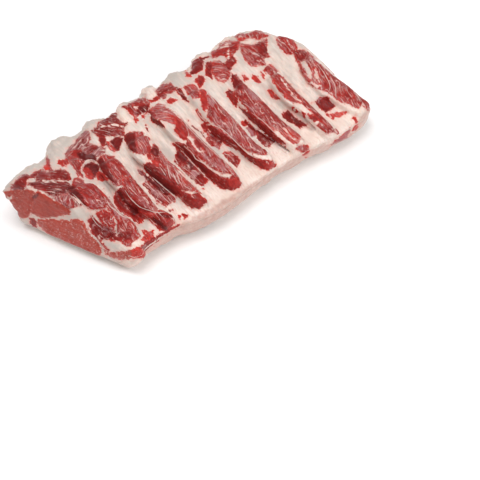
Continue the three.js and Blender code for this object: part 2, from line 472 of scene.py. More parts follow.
@dataclass
class RoastForm:
    """The sections of the roast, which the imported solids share, in millimetres."""

    eye_end_x: float = -191.2       # the eye-end cut, where it crosses the middle line
    eye_end_skew: float = 0.394
    far_end_x: float = 224.0
    far_end_lean: float = 3.2       # mm that the far cut falls short at the backbone and overshoots in front
    front_most: float = -107.0
    crest_height: float = 68.0
    shelf_height: float = 42.0
    eye_height: float = 80.0
    lip_height: float = 50.0
    back_rim_height: float = 55.0
    front_rim_height: float = 38.0
    back_tuck: float = 58.0
    front_tuck: float = 35.0
    strip_height_head: float = 9.0
    strip_height_tip: float = 15.0
    strip_head_y: float = 52.0
    strip_tip_y: float = -92.0
    far_flank: float = 5.0          # width of a strip's flank on the side away from the camera
    least_flank: float = 2.5        # and the least anywhere
    back_outline_height: float = 56.0  # where the backbone edge reaches furthest, as the viewpoint sees it
    front_outline_height: float = 15.0
    front_outline_inset: float = 7.1
    eye_reach: Range = (4.0, 62.0)  # mm from its cut, between which the eye end falls to the beds
    lip_to_eye: Range = (-50.0, -20.0)  # places across the roast where the lip rises to the eye muscle
    seam_depth: float = 9.0         # of the dip in the lip beside the eye-end cut
    seam_y: float = -57.0
    seam_half_width: float = 14.0
    bed_rise: Range = (-115.0, 45.0)  # places across the roast between which the beds rise
    head_fade: Range = (-16.0, 2.0)  # mm past a strip's head, between which it sinks into the rim
    rim_roll: float = 30.0          # mm over which the top rolls over into the backbone edge
    end_roll: float = 20.0          # and into the far cut
    end_drops: Range = (9.0, 22.0)  # mm that it drops there, at the front edge and further back
    view: Viewpoint = field(default_factory=Viewpoint)

    def __post_init__(self) -> None:
        """Works out the two long edges in plan."""
        self.back_edge = self._edge(BACK_RIM, self.back_outline_height)
        self.front_edge = self._edge(FRONT_RIM, self.front_outline_height)

    def _edge(self, rim: Outline, height: float) -> tuple[Array, Array]:
        """Where a rim lies in plan, its corners eased.

        Args:
            rim: The rim as it is outlined in the frame.
            height: The height that it lies at.

        Returns:
            Places along the roast and across it.
        """
        rays = self.view.rays(np.array(rim, float).reshape(-1, 2))
        found = self.view.place + rays * ((height - self.view.place[2]) / rays[:, 2])[:, None]
        found = found[np.argsort(found[:, 0])]
        x = np.arange(-240.0, 240.0, 1.5)
        y = np.interp(x, found[:, 0], found[:, 1])
        kernel = np.array((1.0, 2.0, 3.0, 2.0, 1.0)) / 9.0
        return x, np.convolve(np.pad(y, 2, mode="edge"), kernel, mode="valid")

    def centre(self) -> Array:
        """The middle of the drawn footprint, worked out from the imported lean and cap."""
        low = np.minimum(np.array(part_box("lean")[0]), np.array(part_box("fat_cap")[0])) / MM
        high = np.maximum(np.array(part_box("lean")[1]), np.array(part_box("fat_cap")[1])) / MM
        return np.array((self.far_end_x - high[0], self.front_most - low[1], 0.0))

    def back(self, x: Array) -> Array:
        """How far the backbone edge lies from the middle line."""
        return np.interp(x, *self.back_edge)

    def front(self, x: Array) -> Array:
        """How far the front edge lies from the middle line."""
        return self.front_outline_inset - np.interp(x, *self.front_edge)

    def bed(self, x: Array, y: Array) -> Array:
        """Height of the rib beds."""
        return lerp(self.shelf_height, self.crest_height, smoothstep(y, *self.bed_rise)) + 0.0 * x

    def strip(self, y: Array) -> Array:
        """How far a strip's crest stands over the beds."""
        share = np.clip((y - self.strip_tip_y) / (self.strip_head_y - self.strip_tip_y), 0.0, 1.0)
        return lerp(self.strip_height_tip, self.strip_height_head, share)

    def with_eye(self, x: Array, y: Array, height: Array) -> Array:
        """Raises a surface to the tall eye end beside its cut."""
        from_cut = x - (self.eye_end_x - self.eye_end_skew * y)
        beside = 1.0 - smoothstep(from_cut, *self.eye_reach)
        profile = lerp(self.lip_height, self.eye_height, smoothstep(y, *self.lip_to_eye))
        profile -= self.seam_depth * bump(y - self.seam_y, self.seam_half_width)
        return lerp(height, profile, beside)

    def round_off(self, x: Array, y: Array, height: Array) -> Array:
        """Rolls a surface over into the backbone edge and the far cut."""
        into_rim = np.clip((y - (self.back(x) - self.rim_roll)) / self.rim_roll, 0.0, 1.0)
        into_far = np.clip((x - (self.far_end_x - self.end_roll)) / self.end_roll, 0.0, 1.0)
        full_drop = lerp(*self.end_drops, smoothstep(y, -100.0, -20.0))
        drop = (1.0 - np.sqrt(1.0 - 0.98 * into_far ** 2)) * full_drop
        return lerp(height, self.back_rim_height, into_rim ** 2.2) - drop

    def bed_height(self, x: Array, y: Array) -> Array:
        """Height of the top without its strips."""
        return self.round_off(x, y, self.with_eye(x, y, self.bed(x, y)))

    def crest(self, x: Array, y: Array) -> Array:
        """Height of the top if a strip stood everywhere."""
        return self.round_off(x, y, self.with_eye(x, y, self.bed(x, y) + self.strip(y)))

    def ridge_plans(self) -> list[tuple[Array, Array, float]]:
        """The crest and the foot of each strip in plan, as loops, with the strip's share of the height."""
        plans = []
        for ridge in RIDGES:
            near_edge = self.view.drape(rounded(ridge.crest_near), self.crest)[:, :2]
            far_edge = self.view.drape(rounded(ridge.crest_far), self.crest)[:, :2]
            foot = self.view.drape(rounded(ridge.foot), self.bed_height)[:, :2]
            far_foot = far_edge + (self.far_flank, self.far_flank * 0.3)
            crest_loop = np.vstack([near_edge, far_edge[::-1]])
            plans.append((crest_loop, np.vstack([foot, far_foot[::-1]]), ridge.rise))
        return plans

    def ridge_share(self, x: Array, y: Array) -> tuple[Array, Array]:
        """How much of a strip stands at each place.

        Args:
            x: Places along the roast.
            y: Places across it.

        Returns:
            The share of the strip's height, and the distance inside the crest, both like x.
        """
        at = np.stack([x.ravel(), y.ravel()], axis=1)
        share, inside = np.zeros(len(at)), np.full(len(at), -30.0)
        for crest_loop, foot_loop, rise in self.ridge_plans():
            some = near(np.vstack([crest_loop, foot_loop]), at, 6.0)
            crest = distance_to(crest_loop, at[some])
            foot = np.maximum(distance_to(foot_loop, at[some]), crest + self.least_flank)
            foot, outside = np.maximum(foot, 0.0), np.maximum(-crest, 0.0)
            here = np.where(crest > 0.0, 1.0, foot / np.maximum(foot + outside, 1e-6))
            head = crest_loop[:, 1].max()
            here *= 1.0 - smoothstep(at[some, 1], *(head + past for past in self.head_fade))
            share[some] = np.maximum(share[some], here * rise)
            inside[some] = np.maximum(inside[some], crest)
        return share.reshape(x.shape), inside.reshape(x.shape)

    def below(self, front: Array, back: Array, y: Array, z: Array) -> Array:
        """Distance outside the lower outline: two rounded flanks and a flat underside.

        Args:
            front: Reach of the front edge.
            back: Reach of the backbone edge.
            y: Places across the roast.
            z: Heights.

        Returns:
            Roughly the distance, negative inside.
        """
        turns = ((self.front_tuck - front - y, self.front_tuck, self.front_rim_height),
                 (y - back + self.back_tuck, self.back_tuck, self.back_rim_height))
        flanks = []
        for past, tuck, rim in turns:
            across, down = np.maximum(past, 0.0) / tuck, np.maximum(rim - z, 0.0) / rim
            flanks.append((np.sqrt(across ** 2 + down ** 2) - 1.0) * 0.5 * (tuck + rim))
        return np.maximum(*flanks)


@dataclass
class Grid:
    """A box of sample points that a solid is grown on."""

    low: Triple = (-236.0, -114.0, -5.6)
    high: Triple = (231.0, 112.0, 88.0)
    pitch: float = 1.4              # mm from one sample to the next

    def axes(self) -> tuple[Array, Array, Array]:
        """Sample places along X, Y and Z, each shaped to spread over the box."""
        x, y, z = (np.arange(a, b, self.pitch) for a, b in zip(self.low, self.high))
        return x[:, None, None], y[None, :, None], z[None, None, :]

    def skin(self, values: Array) -> tuple[Array, Array]:
        """Turns a distance field into a closed skin of quads.

        Args:
            values: Distance outside the solid at each sample.

        Returns:
            The skin's points in millimetres and its faces, both one row each.
        """
        reach = 3.0 * self.pitch
        volume = vdb.FloatGrid(reach)
        volume.copyFromArray(np.clip(values, -reach, reach).astype(np.float32))
        points, _, faces = volume.convertToPolygons(isovalue=0.0, adaptivity=0.0)
        return np.array(points, float) * self.pitch + np.array(self.low), np.array(faces, np.int32)


# ---- Growing the two solids ----

@dataclass
class Skin:
    """A closed mesh in the making: points in millimetres and faces."""

    points: Array
    faces: Array

    def normals(self) -> Array:
        """Unit normals of the points, each the mean of its faces' weighted by area."""
        a, b, c, d = (self.points[self.faces[:, corner]] for corner in (0, 1, 2, -1))
        across = np.cross(c - a, d - b)
        total = np.zeros_like(self.points)
        for corner in range(self.faces.shape[1]):
            for axis in range(3):
                total[:, axis] += np.bincount(self.faces[:, corner], across[:, axis], len(total))
        return total / np.maximum(np.linalg.norm(total, axis=1, keepdims=True), 1e-12)

    def relaxed(self, values: Array, rounds: int) -> Array:
        """Evens out values over neighbouring points.

        Args:
            values: One value for each point.
            rounds: How often each value moves to the mean of its faces' points.

        Returns:
            The smoother values.
        """
        flat = self.faces.ravel()
        count = np.maximum(np.bincount(flat, minlength=len(values)), 1)
        for _ in range(rounds):
            mean = values[self.faces].mean(axis=1)
            values = np.bincount(flat, np.repeat(mean, self.faces.shape[1]), len(values)) / count
        return values


@dataclass
class Grower:
    """Fills a distance field for the whole roast, carves it, and parts the lean from the fat cap."""

    form: RoastForm
    grid: Grid
    groove_radius: float = 1.6      # of the groove under the near flank of each strip
    groove_lift: float = 0.8        # mm that its middle lies above the bed's own surface
    groove_blend: float = 1.6
    cap_thick: float = 10.5         # at the front edge
    cap_thin: float = 4.0           # below the eye muscle
    cap_edge: float = 1.6           # on the backbone flank
    cap_front_top: float = 36.4     # height at which the cap ends on the front edge
    cap_back_top: float = 21.0      # and on the backbone flank
    overlap: float = 0.9            # the two reach this far into each other, so that no slit shows
    seam_blend: float = 0.3
    heel_height: float = 11.0       # the underside rises this far to the edge of the eye-end cut
    heel_reach: float = 24.0
    shoulder_depth: float = 25.0    # height of the slope on the backbone flank beside that cut
    bed_sag: float = 1.8            # mm that the beds sag away from the strips
    sag_reach: Range = (4.0, 14.0)  # mm from a crest, between which they come to sag
    crown: float = 1.4              # mm that a crest's border lies below its middle
    crown_width: float = 7.0        # and mm from that border to its full height
    wave_rise: float = 1.3          # strength of the slow waves in the top
    wave_size: float = 34.0         # and from one to the next
    edge_radius: float = 3.0        # of the rounding where the roast's outer faces meet
    eye_radius: float = 1.2         # and round the eye-end cut

    def __post_init__(self) -> None:
        """Samples what both solids share."""
        form = self.form
        self.x, self.y, self.z = self.grid.axes()
        x, y = np.broadcast_arrays(self.x[:, :, 0], self.y[:, :, 0])
        flat = np.stack([x.ravel(), y.ravel(), np.zeros(x.size)], axis=1)
        self.share, self.inside_crest = form.ridge_share(x, y)
        sag = self.bed_sag * smoothstep(-self.inside_crest, *self.sag_reach)
        bed = form.bed(x, y) - sag * smoothstep(-y, -40.0, 0.0)
        crown = self.crown * (1.0 - smoothstep(self.inside_crest, 0.0, self.crown_width))
        flank = lerp(self.share, smoothstep(self.share, 0.0, 1.0), 0.35)
        strip = form.strip(y) * flank - crown * self.share
        waves = self.wave_rise * Noise(3).octaves(flat, self.wave_size, 2).reshape(x.shape)
        self.top = form.round_off(x, y, form.with_eye(x, y, bed + strip)) + waves
        along, across = np.gradient(self.top, self.grid.pitch)
        slope = np.sqrt(1.0 + along ** 2 + across ** 2)
        self.front, self.back = form.front(self.x), form.back(self.x)
        above = (self.z - self.top[:, :, None]) / np.minimum(slope, 3.0)[:, :, None]
        self.below = form.below(self.front, self.back, self.y, self.z)
        eye = (form.eye_end_x - form.eye_end_skew * self.y - self.x) / math.hypot(1.0, form.eye_end_skew)
        outer = soft_max(above, self.below, self.edge_radius)
        outer = soft_max(outer, eye + 0.0 * self.z, self.eye_radius)
        heel = self.heel_height * (1.0 + eye / self.heel_reach) - self.z
        outer = soft_max(outer, heel, self.edge_radius)
        slope_off = np.clip(form.back_rim_height - 2.0 - self.z, 0.0, self.shoulder_depth)
        shoulder = 0.75 * (self.y - self.back + 0.88 * slope_off + 0.9 * eye)
        outer = soft_max(outer, shoulder, self.edge_radius)
        far_end = form.far_end_x - form.far_end_lean * (2.0 * smoothstep(self.y, -45.0, 55.0) - 1.0)
        self.outer = soft_max(outer, self.x - far_end + 0.0 * self.z, self.edge_radius)

    def carve(self) -> None:
        """Cuts the grooves under the near flanks of the strips."""
        for ridge in RIDGES[:-1]:
            foot = self.form.view.drape(rounded(ridge.foot[2:-2]), self.form.bed_height)
            foot[:, 2] += self.groove_lift
            for start, end in zip(foot[:-1], foot[1:]):
                self._carve_one(start, end)

    def _carve_one(self, start: Array, end: Array) -> None:
        """Cuts one straight stretch of a groove.

        Args:
            start: One end of its middle line.
            end: The other end.
        """
        reach = self.groove_radius + 4.0
        low = (np.minimum(start, end) - reach - self.grid.low) / self.grid.pitch
        high = (np.maximum(start, end) + reach - self.grid.low) / self.grid.pitch
        block = tuple(slice(max(int(a), 0), max(int(b), 0)) for a, b in zip(low, high))
        axes = self.x[block[0]], self.y[:, block[1]], self.z[:, :, block[2]]
        at = np.stack(np.broadcast_arrays(*axes), axis=-1)
        span = end - start
        share = np.clip((at - start) @ span / max(span @ span, 1e-9), 0.0, 1.0)
        gap = np.linalg.norm(at - start - share[..., None] * span, axis=-1)
        self.outer[block] = soft_max(self.outer[block], self.groove_radius - gap, self.groove_blend)

    def cap_region(self) -> Array:
        """Distance outside the layer that the fat cap fills, at each sample."""
        width = self.front + self.back
        place = (self.y + self.front) / width
        thick = lerp(self.cap_thick, self.cap_thin, smoothstep(place, 0.04, 0.5))
        thick = lerp(thick, self.cap_edge, smoothstep(place, 0.78, 0.97))
        limit = lerp(self.cap_front_top, self.cap_back_top, smoothstep(place, 0.35, 0.65))
        return np.maximum(-self.below - thick, self.z - limit)

    def lean(self) -> Skin:
        """The lean's skin."""
        return Skin(*self.grid.skin(soft_max(self.outer, -self.overlap - self.cap_region(), self.seam_blend)))

    def cap(self) -> Skin:
        """The fat cap's skin."""
        return Skin(*self.grid.skin(soft_max(self.outer, self.cap_region(), self.seam_blend)))


# ---- Marks on the surface ----

EYE_CUT = (
    Mark(CUT, (3, 192, 10, 190, 20, 190, 30, 190, 35, 191, 33, 200, 32, 207, 30, 213, 28, 217, 22, 220, 18,
         216, 14, 208, 7, 202), 0.42, 0, 0.45, bulge=0.8),
    Mark(CUT, (34, 192, 38, 191, 43, 193, 50, 198, 60, 203, 71, 211, 72, 214, 60, 216, 46, 218, 35, 216, 30,
         213, 32, 205), 0.4, 0, 0, bulge=1.2),
    Mark(LEAN, (34, 198, 35.5, 196, 37.5, 194), 0.85, 0, bulge=-0.6, width=1.4),
    Mark(CUT, (38, 219, 51, 219, 67, 220, 77, 219, 84, 222, 92, 232, 98, 242, 102, 252, 100, 257, 91, 258,
         80, 252, 66, 245, 52, 238, 44, 231, 38, 224), 0.28, 0, 0.62),
    Mark(LEAN, (30, 218, 34, 219, 36, 223, 36, 227, 31, 226), 0.55, 0.1, bulge=-0.6),
    Mark(FAT, (7, 197, 12, 196, 12, 199, 8, 199.5), bulge=0.2),
    Mark(FAT, (49, 218, 60, 216, 70, 216, 72, 208, 76, 206, 84, 206, 88, 212, 90, 219, 90, 228, 87, 230, 86,
         225, 83, 220, 77, 218, 62, 219), film=0.2, bulge=0.6),
    Mark(FILM, (82, 208, 86, 208, 90, 216, 88, 222, 84, 216), film=0.75, edge=1.5),
    Mark(FAT, (18, 220, 23, 218, 28, 217, 30, 224, 33, 227, 41, 230, 47, 235, 38, 234, 28, 229), bulge=0.5),
    Mark(LEAN, (89, 220, 95, 228, 101, 238, 109, 251, 105, 252, 99, 243, 92, 234), 0.5),
    Mark(FAT, (88, 231, 96, 239, 103, 248, 104.5, 253), bulge=0.3, width=1.8),
    Mark(FAT, (101, 238, 108, 238, 118, 240, 124, 243, 133, 250, 126, 252, 112, 252, 106, 247),
         bulge=0.8),
    Mark(CUT, (103, 253, 118, 252, 134, 250, 133, 258, 124, 260, 112, 258), 0.35, 0.2, 0.8),
    Mark(STAIN, (103, 258, 116, 260, 130, 260, 139, 260, 134, 266, 124, 268, 110, 262), tone=0.35),
    Mark(LEAN, (139, 248, 147, 241, 160, 234, 179, 224, 179, 225, 168, 232, 153, 241, 143, 250), 0.55,
         bulge=-0.4),
    Mark(LEAN, (144, 251, 150, 245, 158, 240), 0.8, 0, bulge=-0.5, width=1.4),
    Mark(LEAN, (132, 250, 136, 248, 139, 248, 143, 250, 144, 256, 140, 258, 132, 258), 0.15, 0.1, bulge=1.6),
)

TOP_LEFT = (
    Mark(FILM, (11, 185, 17, 179, 27, 166, 43, 157, 50, 143, 62, 136, 72, 140, 70, 149, 64, 158, 58, 165, 69,
         170, 58, 172, 50, 168, 40, 169, 30, 174, 22, 181), film=0.75, edge=1.6),
    Mark(FAT, (49, 146, 52, 141, 62, 136, 67, 138, 62, 143, 55, 147), film=0.1, bulge=2),
    Mark(LEAN, (11, 188, 13, 184, 18, 178, 26, 175, 30, 176, 27, 180, 25, 185, 23, 190, 14, 190), 0.68, 0.4,
         0.3),
    Mark(LEAN, (29, 177, 34, 172.5, 41, 170, 37, 174.5, 33, 178), 0.6, 0.3),
    Mark(LEAN, (46, 157, 49, 160, 51, 168, 54, 173, 50, 174, 48, 166), 0.55, 0.6, grain=70),
    Mark(LEAN, (44, 167, 47, 165, 49, 167.5, 46, 170), 0, 0, 0),
    Mark(LEAN, (36, 180, 38, 172, 42, 171, 46, 173, 51, 173, 57, 170, 65, 170, 68, 173, 71, 179, 66, 180, 58,
         181, 50, 179, 44, 181, 38, 182), 0.66, 0.3, 0.6, grain=0, bulge=1.4),
    Mark(LEAN, (28, 184, 33, 182, 40, 182, 46, 183, 58, 182, 66, 181, 71, 186, 70, 191, 66, 194, 59, 195, 54,
         198, 48, 194, 43, 190, 35, 188), 0.76, 0.25, 0.6, grain=3, bulge=1.8),
    Mark(FAT, (43, 181.2, 52, 180.2, 62, 181.6, 69, 180.6), width=1.3),
    Mark(FAT, (29, 186.5, 35, 190, 43, 191.8, 48, 195.5, 54, 198.6), bulge=0.8, width=2.2),
    Mark(LEAN, (55, 198, 60, 195, 68, 193, 71, 199, 80, 207, 76, 208, 70, 209, 64, 206, 59, 202), 0.5, 0.65,
         1, grain=80),
    Mark(LEAN, (58, 164, 60, 160, 69, 159, 69, 162, 66, 166), 0.35, 0.1),
    Mark(LEAN, (83, 132, 88, 131, 90, 138, 88, 144, 95, 146, 103, 148, 98, 151, 105, 153, 96, 156, 95, 161,
         86, 160, 75, 161, 69, 160, 66, 156, 68, 150, 74, 144, 79, 138), 0.66, 0.6, 1, grain=-50, bulge=1.8),
    Mark(LEAN, (66, 155, 74, 150, 82, 150, 80, 157, 70, 159), 0.45, 0.2, 0.7, grain=-35),
    # Painted shadow: a nearly black slot that stands in for the shade in the crevice there.
    Mark(LEAN, (78, 154, 83, 153, 86, 156, 95, 156, 94, 160, 86, 160, 80, 157), 1, 0, 0.1, bulge=-2.8,
         edge=1.2),
    Mark(LEAN, (69, 162, 77, 160, 84, 162, 82, 168, 85, 178, 79, 176, 76, 170, 73, 166), 0.5, 0.3, 0.9,
         grain=60),
    Mark(FAT, (90, 132, 96, 132, 101, 138, 102, 145, 96, 146, 91, 141), film=0.1, bulge=2),
    Mark(FAT, (82, 125, 84, 122, 97, 120, 106, 120, 98, 125, 89, 131), film=0.7, bulge=2.2),
    Mark(FAT, (81, 170, 83, 163, 88, 160, 96, 161, 100, 166, 98, 176, 90, 181, 84, 178), film=0.75,
         bulge=1.4),
    # Dark lean in a pocket: the meat's own dark colour, darkened further as painted shade in the hollow.
    Mark(LEAN, (84, 170, 86, 164, 92, 162, 98, 166, 98, 173, 92, 179, 86, 176), 0.9, 0.2, 0.2, grain=-30,
         bulge=-1.6),
    Mark(LEAN, (84, 169, 88, 168, 91, 171, 94, 177, 91, 179, 86, 176), 0.38, 0.1, bulge=0.6),
    Mark(LEAN, (97, 176, 99, 172, 104, 174, 108, 180, 103, 181, 98, 179), 0.25),
    Mark(LEAN, (92, 131, 97, 127, 101, 122, 106, 118, 109, 113, 115, 108, 117, 118, 120, 122, 127, 123, 123,
         129, 124, 135, 114, 136, 104, 136, 106, 141, 105, 150, 101, 144, 99, 136), 0.66, 0.2, 0.6,
         grain=14, bulge=1.6),
    Mark(FAT, (98, 128.5, 106, 125.5, 116, 125, 123, 126.5), film=0.2, width=1.4),
    Mark(FAT, (105, 146, 107, 141, 117, 136, 124, 136, 124, 142, 119, 151, 113, 152, 106, 150), film=0.3,
         bulge=1.2),
    Mark(LEAN, (107, 145, 109, 142, 117, 138, 122, 138, 122, 142, 118, 150, 113, 151), 0.82, 0.15, 0.3,
         grain=-45, bulge=-1.2),
    Mark(LEAN, (108, 142.5, 110, 142, 114, 148, 115, 151, 110, 148.5), 0.15, 0.2, 0.8),
)

STRIP_ONE = (
    Mark(LEAN, (72, 186, 74, 180, 78, 178, 83, 181, 84, 185, 91, 184, 96, 186, 99, 191, 105, 198, 107, 205,
         103, 208, 98, 209, 91, 210, 87, 208, 84, 202, 79, 194), 0.42, 0.52, 0.5, grain=35, bulge=2),
    # Painted shadow: the nearly black groove along the foot of the strip's near flank.
    Mark(LEAN, (68, 190, 72, 186, 77, 191, 82, 198, 86, 206, 80, 205, 75, 200), 0.92, 0.1, 0.1, bulge=-0.4),
    Mark(FAT, (71, 196.5, 77, 200, 82, 204.5, 87, 208.5), film=0.8, width=1.6),
    Mark(LEAN, (98, 190, 102, 188, 108, 196, 111, 202, 114, 208, 118, 215, 114, 216, 110, 211, 105, 204),
         0.44, 0.35, 0.9, grain=56),
    Mark(LEAN, (100.5, 190, 102.5, 188, 105, 192, 105.5, 196.5, 103, 195), 0.02, 0, 0.2),
    Mark(LEAN, (96, 214, 100, 211, 106, 211, 111, 214, 115, 219, 115, 224, 114, 232, 109, 230, 103, 224),
         0.38, 0.35, 0.5, grain=60, bulge=1.8),
    Mark(LEAN, (115, 216, 121, 216, 128, 220, 134, 225, 136, 231, 140, 237, 135, 240, 131, 242, 130, 246,
         126, 246, 122, 242, 124, 239, 121, 233, 117, 231, 116, 226), 0.42, 0.35, 0.7, grain=60, bulge=1.4),
    Mark(LEAN, (104, 237.5, 111, 238, 122, 237.5, 122, 240, 112, 240.5), 0.5, 0.1),
    Mark(FILM, (110, 206, 118, 213, 128, 216, 132, 218, 124, 220, 116, 216), film=0.95, edge=0.9),
    Mark(LEAN, (88, 220, 92, 216, 99, 224, 106, 230, 114, 234, 120, 236, 117, 239, 107, 239, 100, 240, 95,
         233, 90, 226), 0.68, 0.3, 0.5, grain=48, bulge=0.5),
    Mark(LEAN, (91.5, 217, 99, 224.5, 107, 230, 113, 233.5, 119, 236), 0.8, 0.6, 0.2, bulge=0.3, width=2),
    Mark(FAT, (113.5, 216.5, 115, 220, 116.2, 224, 115.5, 229, 116, 233, 119, 237), width=1.6),
    Mark(LEAN, (118, 234, 124, 232, 131, 232, 130, 238, 120, 238), 0.66, 0.2, 0.4, edge=1.4),
)

STRIP_TWO = (
    Mark(LEAN, (114, 203, 115, 193, 120, 187, 125, 188, 131, 198, 138, 207, 147, 211, 154, 214, 156, 218,
         152, 220, 145, 218, 139, 224, 136, 222, 128, 216, 120, 211), 0.42, 0.1, 0.2, bulge=-0.3),
    # Dark lean in the pocket under the near flank: the meat's own colour, darkened further as painted shade.
    Mark(LEAN, (116, 193, 122, 190, 128, 199, 133, 208, 129, 209, 122, 206, 118, 202), 0.72, 0.25, 0.3,
         grain=65, bulge=-0.6, edge=1.4),
    Mark(LEAN, (117, 194, 121, 201, 128, 208, 134, 213), 0.4, 0.3, 0.9, width=1.6),
    Mark(LEAN, (122, 190, 126, 197, 131, 203, 138, 209), 0.45, 0.3, 0.9, width=1.4),
    # Painted shadow: a black line along the foot of the near flank.
    Mark(LEAN, (120, 193, 124, 200, 130, 206), 1, 0, bulge=-0.8, width=1),
    Mark(LEAN, (115, 204, 121, 208, 130, 213, 138, 218, 139, 223, 128, 216, 119, 210), 0.5, 0.2, 0.5,
         bulge=1.4),
    Mark(LEAN, (139, 209, 147, 212, 154, 215, 151, 220, 145, 218, 139, 214), 0.35, 0.15, 0.5, bulge=1.2),
    # Painted shade: a nearly black hole in the pocket.
    Mark(LEAN, (130.5, 208.5, 136, 208.5, 137.5, 213, 134, 215, 131.5, 212), 0.95, 0, 0, bulge=-1.5),
    Mark(STAIN, (104, 181, 110, 182, 116, 187, 113, 194, 107, 191), tone=0.85, film=0.4, edge=2.5),
    Mark(LEAN, (97, 161, 99, 158, 106, 156, 114, 157, 120, 162, 124, 169, 131, 176, 125, 178, 122, 184, 116,
         185, 110, 180, 102, 170), 0.38, 0.5, 0.7, grain=50, bulge=2),
    Mark(LEAN, (97, 161, 99, 158, 103, 161, 109, 171, 115, 182, 108, 178, 101, 169), 0.85, 0.1, 0.1,
         edge=1.5),
    Mark(LEAN, (122, 181, 126, 176, 134, 178, 142, 187, 150, 197, 156, 206, 157, 211, 148, 210, 140, 206,
         131, 197, 125, 188), 0.42, 0.45, 0.8, grain=53, bulge=1.6),
    Mark(LEAN, (119, 187, 124, 188, 132, 200, 141, 207, 155, 212, 147, 212, 137, 208, 126, 196), 0.72, 0.2,
         0.1, bulge=0),
    Mark(LEAN, (136, 181, 141, 186, 150, 196, 161, 209, 156, 207, 145, 193), 0.42, 0.45, 0.9, grain=52),
    Mark(LEAN, (154, 216, 158, 212, 163, 211, 172, 210, 173, 216, 171, 218, 173, 221, 171, 227, 166, 230,
         160, 230, 154, 224, 150, 220), 0.42, 0.25, bulge=1.8),
    # Painted shadow: a black line along the foot of the near flank.
    Mark(LEAN, (154, 220, 161, 224.5, 165, 228.5), 1, 0, bulge=-1.4, width=2.2),
    Mark(LEAN, (160, 214, 166, 216, 171, 216.5), 0.85, 0, bulge=-0.8, width=1.8),
)

BED_TWO = (
    Mark(LEAN, (142, 185, 146, 181, 154, 182, 163, 190, 176, 199, 174, 203, 166, 206, 161, 204, 151, 195),
         0.5, 0.4, 1, bulge=-1),
    Mark(FILM, (149, 187, 157, 190, 168, 199, 163, 202, 152, 194), film=0.85, edge=1.6),
    Mark(FAT, (159, 205, 165, 207, 173, 202, 175, 205, 166, 210, 160, 209), film=0.5),
    # Painted shadow: a black line along the foot of strip three's near flank.
    Mark(LEAN, (146, 177, 152, 181.5, 158, 186, 167, 194), 1, 0, bulge=-1.8, width=2.4),
    # Bruised fat, and painted shade on the slope under strip three's near flank.
    Mark(STAIN, (134, 159, 141, 163, 147, 173, 147, 181, 138, 180, 135, 168), tone=0.9, film=0.5, edge=3),
    Mark(FILM, (137, 172, 145, 173, 146, 181, 139, 181), film=0.9, edge=1.5),
    # Dark lean on that slope: its own colour, and painted shade.
    Mark(LEAN, (137, 169, 142, 171, 145, 176, 140, 174), 0.9, 0.6, bulge=-1.2),
    Mark(LEAN, (145, 125, 148, 131), 0.95, 0.2, bulge=-1, width=0.3),
)

STRIP_THREE = (
    Mark(LEAN, (124, 138, 128, 133, 134, 132, 142, 132, 148, 138, 150, 147, 147, 153, 143, 155, 137, 153,
         131, 150, 126, 143), 0.32, 0.58, 0.85, grain=60, bulge=1.6),
    Mark(LEAN, (124, 138, 128, 133, 134, 134, 135, 148, 136, 153, 131, 150, 126, 143), 0.82, 0.05, 0.1),
    Mark(LEAN, (149, 147, 151.5, 153, 150.5, 159.5, 147.5, 157), 0.5),
    Mark(LEAN, (150, 149, 155, 145, 159, 151, 164, 158, 175, 169, 187, 181, 199, 192, 190, 190, 181, 189,
         170, 179, 160, 169, 153, 161), 0.42, 0.4, 0.95, grain=54, bulge=1.8),
    Mark(LEAN, (151, 148, 156, 146, 159, 151, 156, 156, 152, 153), 0.75, 0.2, 0.1),
    Mark(LEAN, (151, 160.5, 157, 162, 158, 167, 153, 165), 0.1, 0, 0.2),
    Mark(LEAN, (144, 164, 149, 162, 160, 170, 171, 180, 182, 190, 188, 195, 181, 198, 171, 192, 158, 182,
         147, 171), 0.66, 0.2, 0.4, bulge=0.4),
    # Dark band at the foot of the near flank: the meat's own dark colour, and painted shade beside the
    # pocket.
    Mark(LEAN, (145, 167, 155, 175, 167, 185, 177, 194, 172, 194, 158, 183, 147, 173), 0.88, 0.1, 0.15,
         bulge=0, edge=1.6),
    Mark(LEAN, (178, 196, 183, 192, 191, 192, 199, 194, 207, 201, 203, 206, 200, 209, 193, 208, 186, 204),
         0.48, 0.2, bulge=1.6),
    Mark(FAT, (181, 190.5, 188, 190, 199, 193, 191, 193.5), film=0.2),
    Mark(FAT, (191, 208.5, 199, 208.5, 199, 213), film=0.1, bulge=1.2),
    Mark(LEAN, (200, 190, 203, 190, 202, 193), 0.1, 0),
    Mark(LEAN, (177.5, 215, 181, 215, 179.5, 219), 0.3, 0.2),
    Mark(LEAN, (182, 213.5, 187, 215, 185, 218.5), 0.4, 0.2),
    Mark(LEAN, (142.5, 230.5, 146.5, 231, 144, 235), 0.25),
    Mark(LEAN, (147, 232, 153, 231, 152, 236, 149, 241, 142, 240, 145, 235), 0.25, 0.4),
)

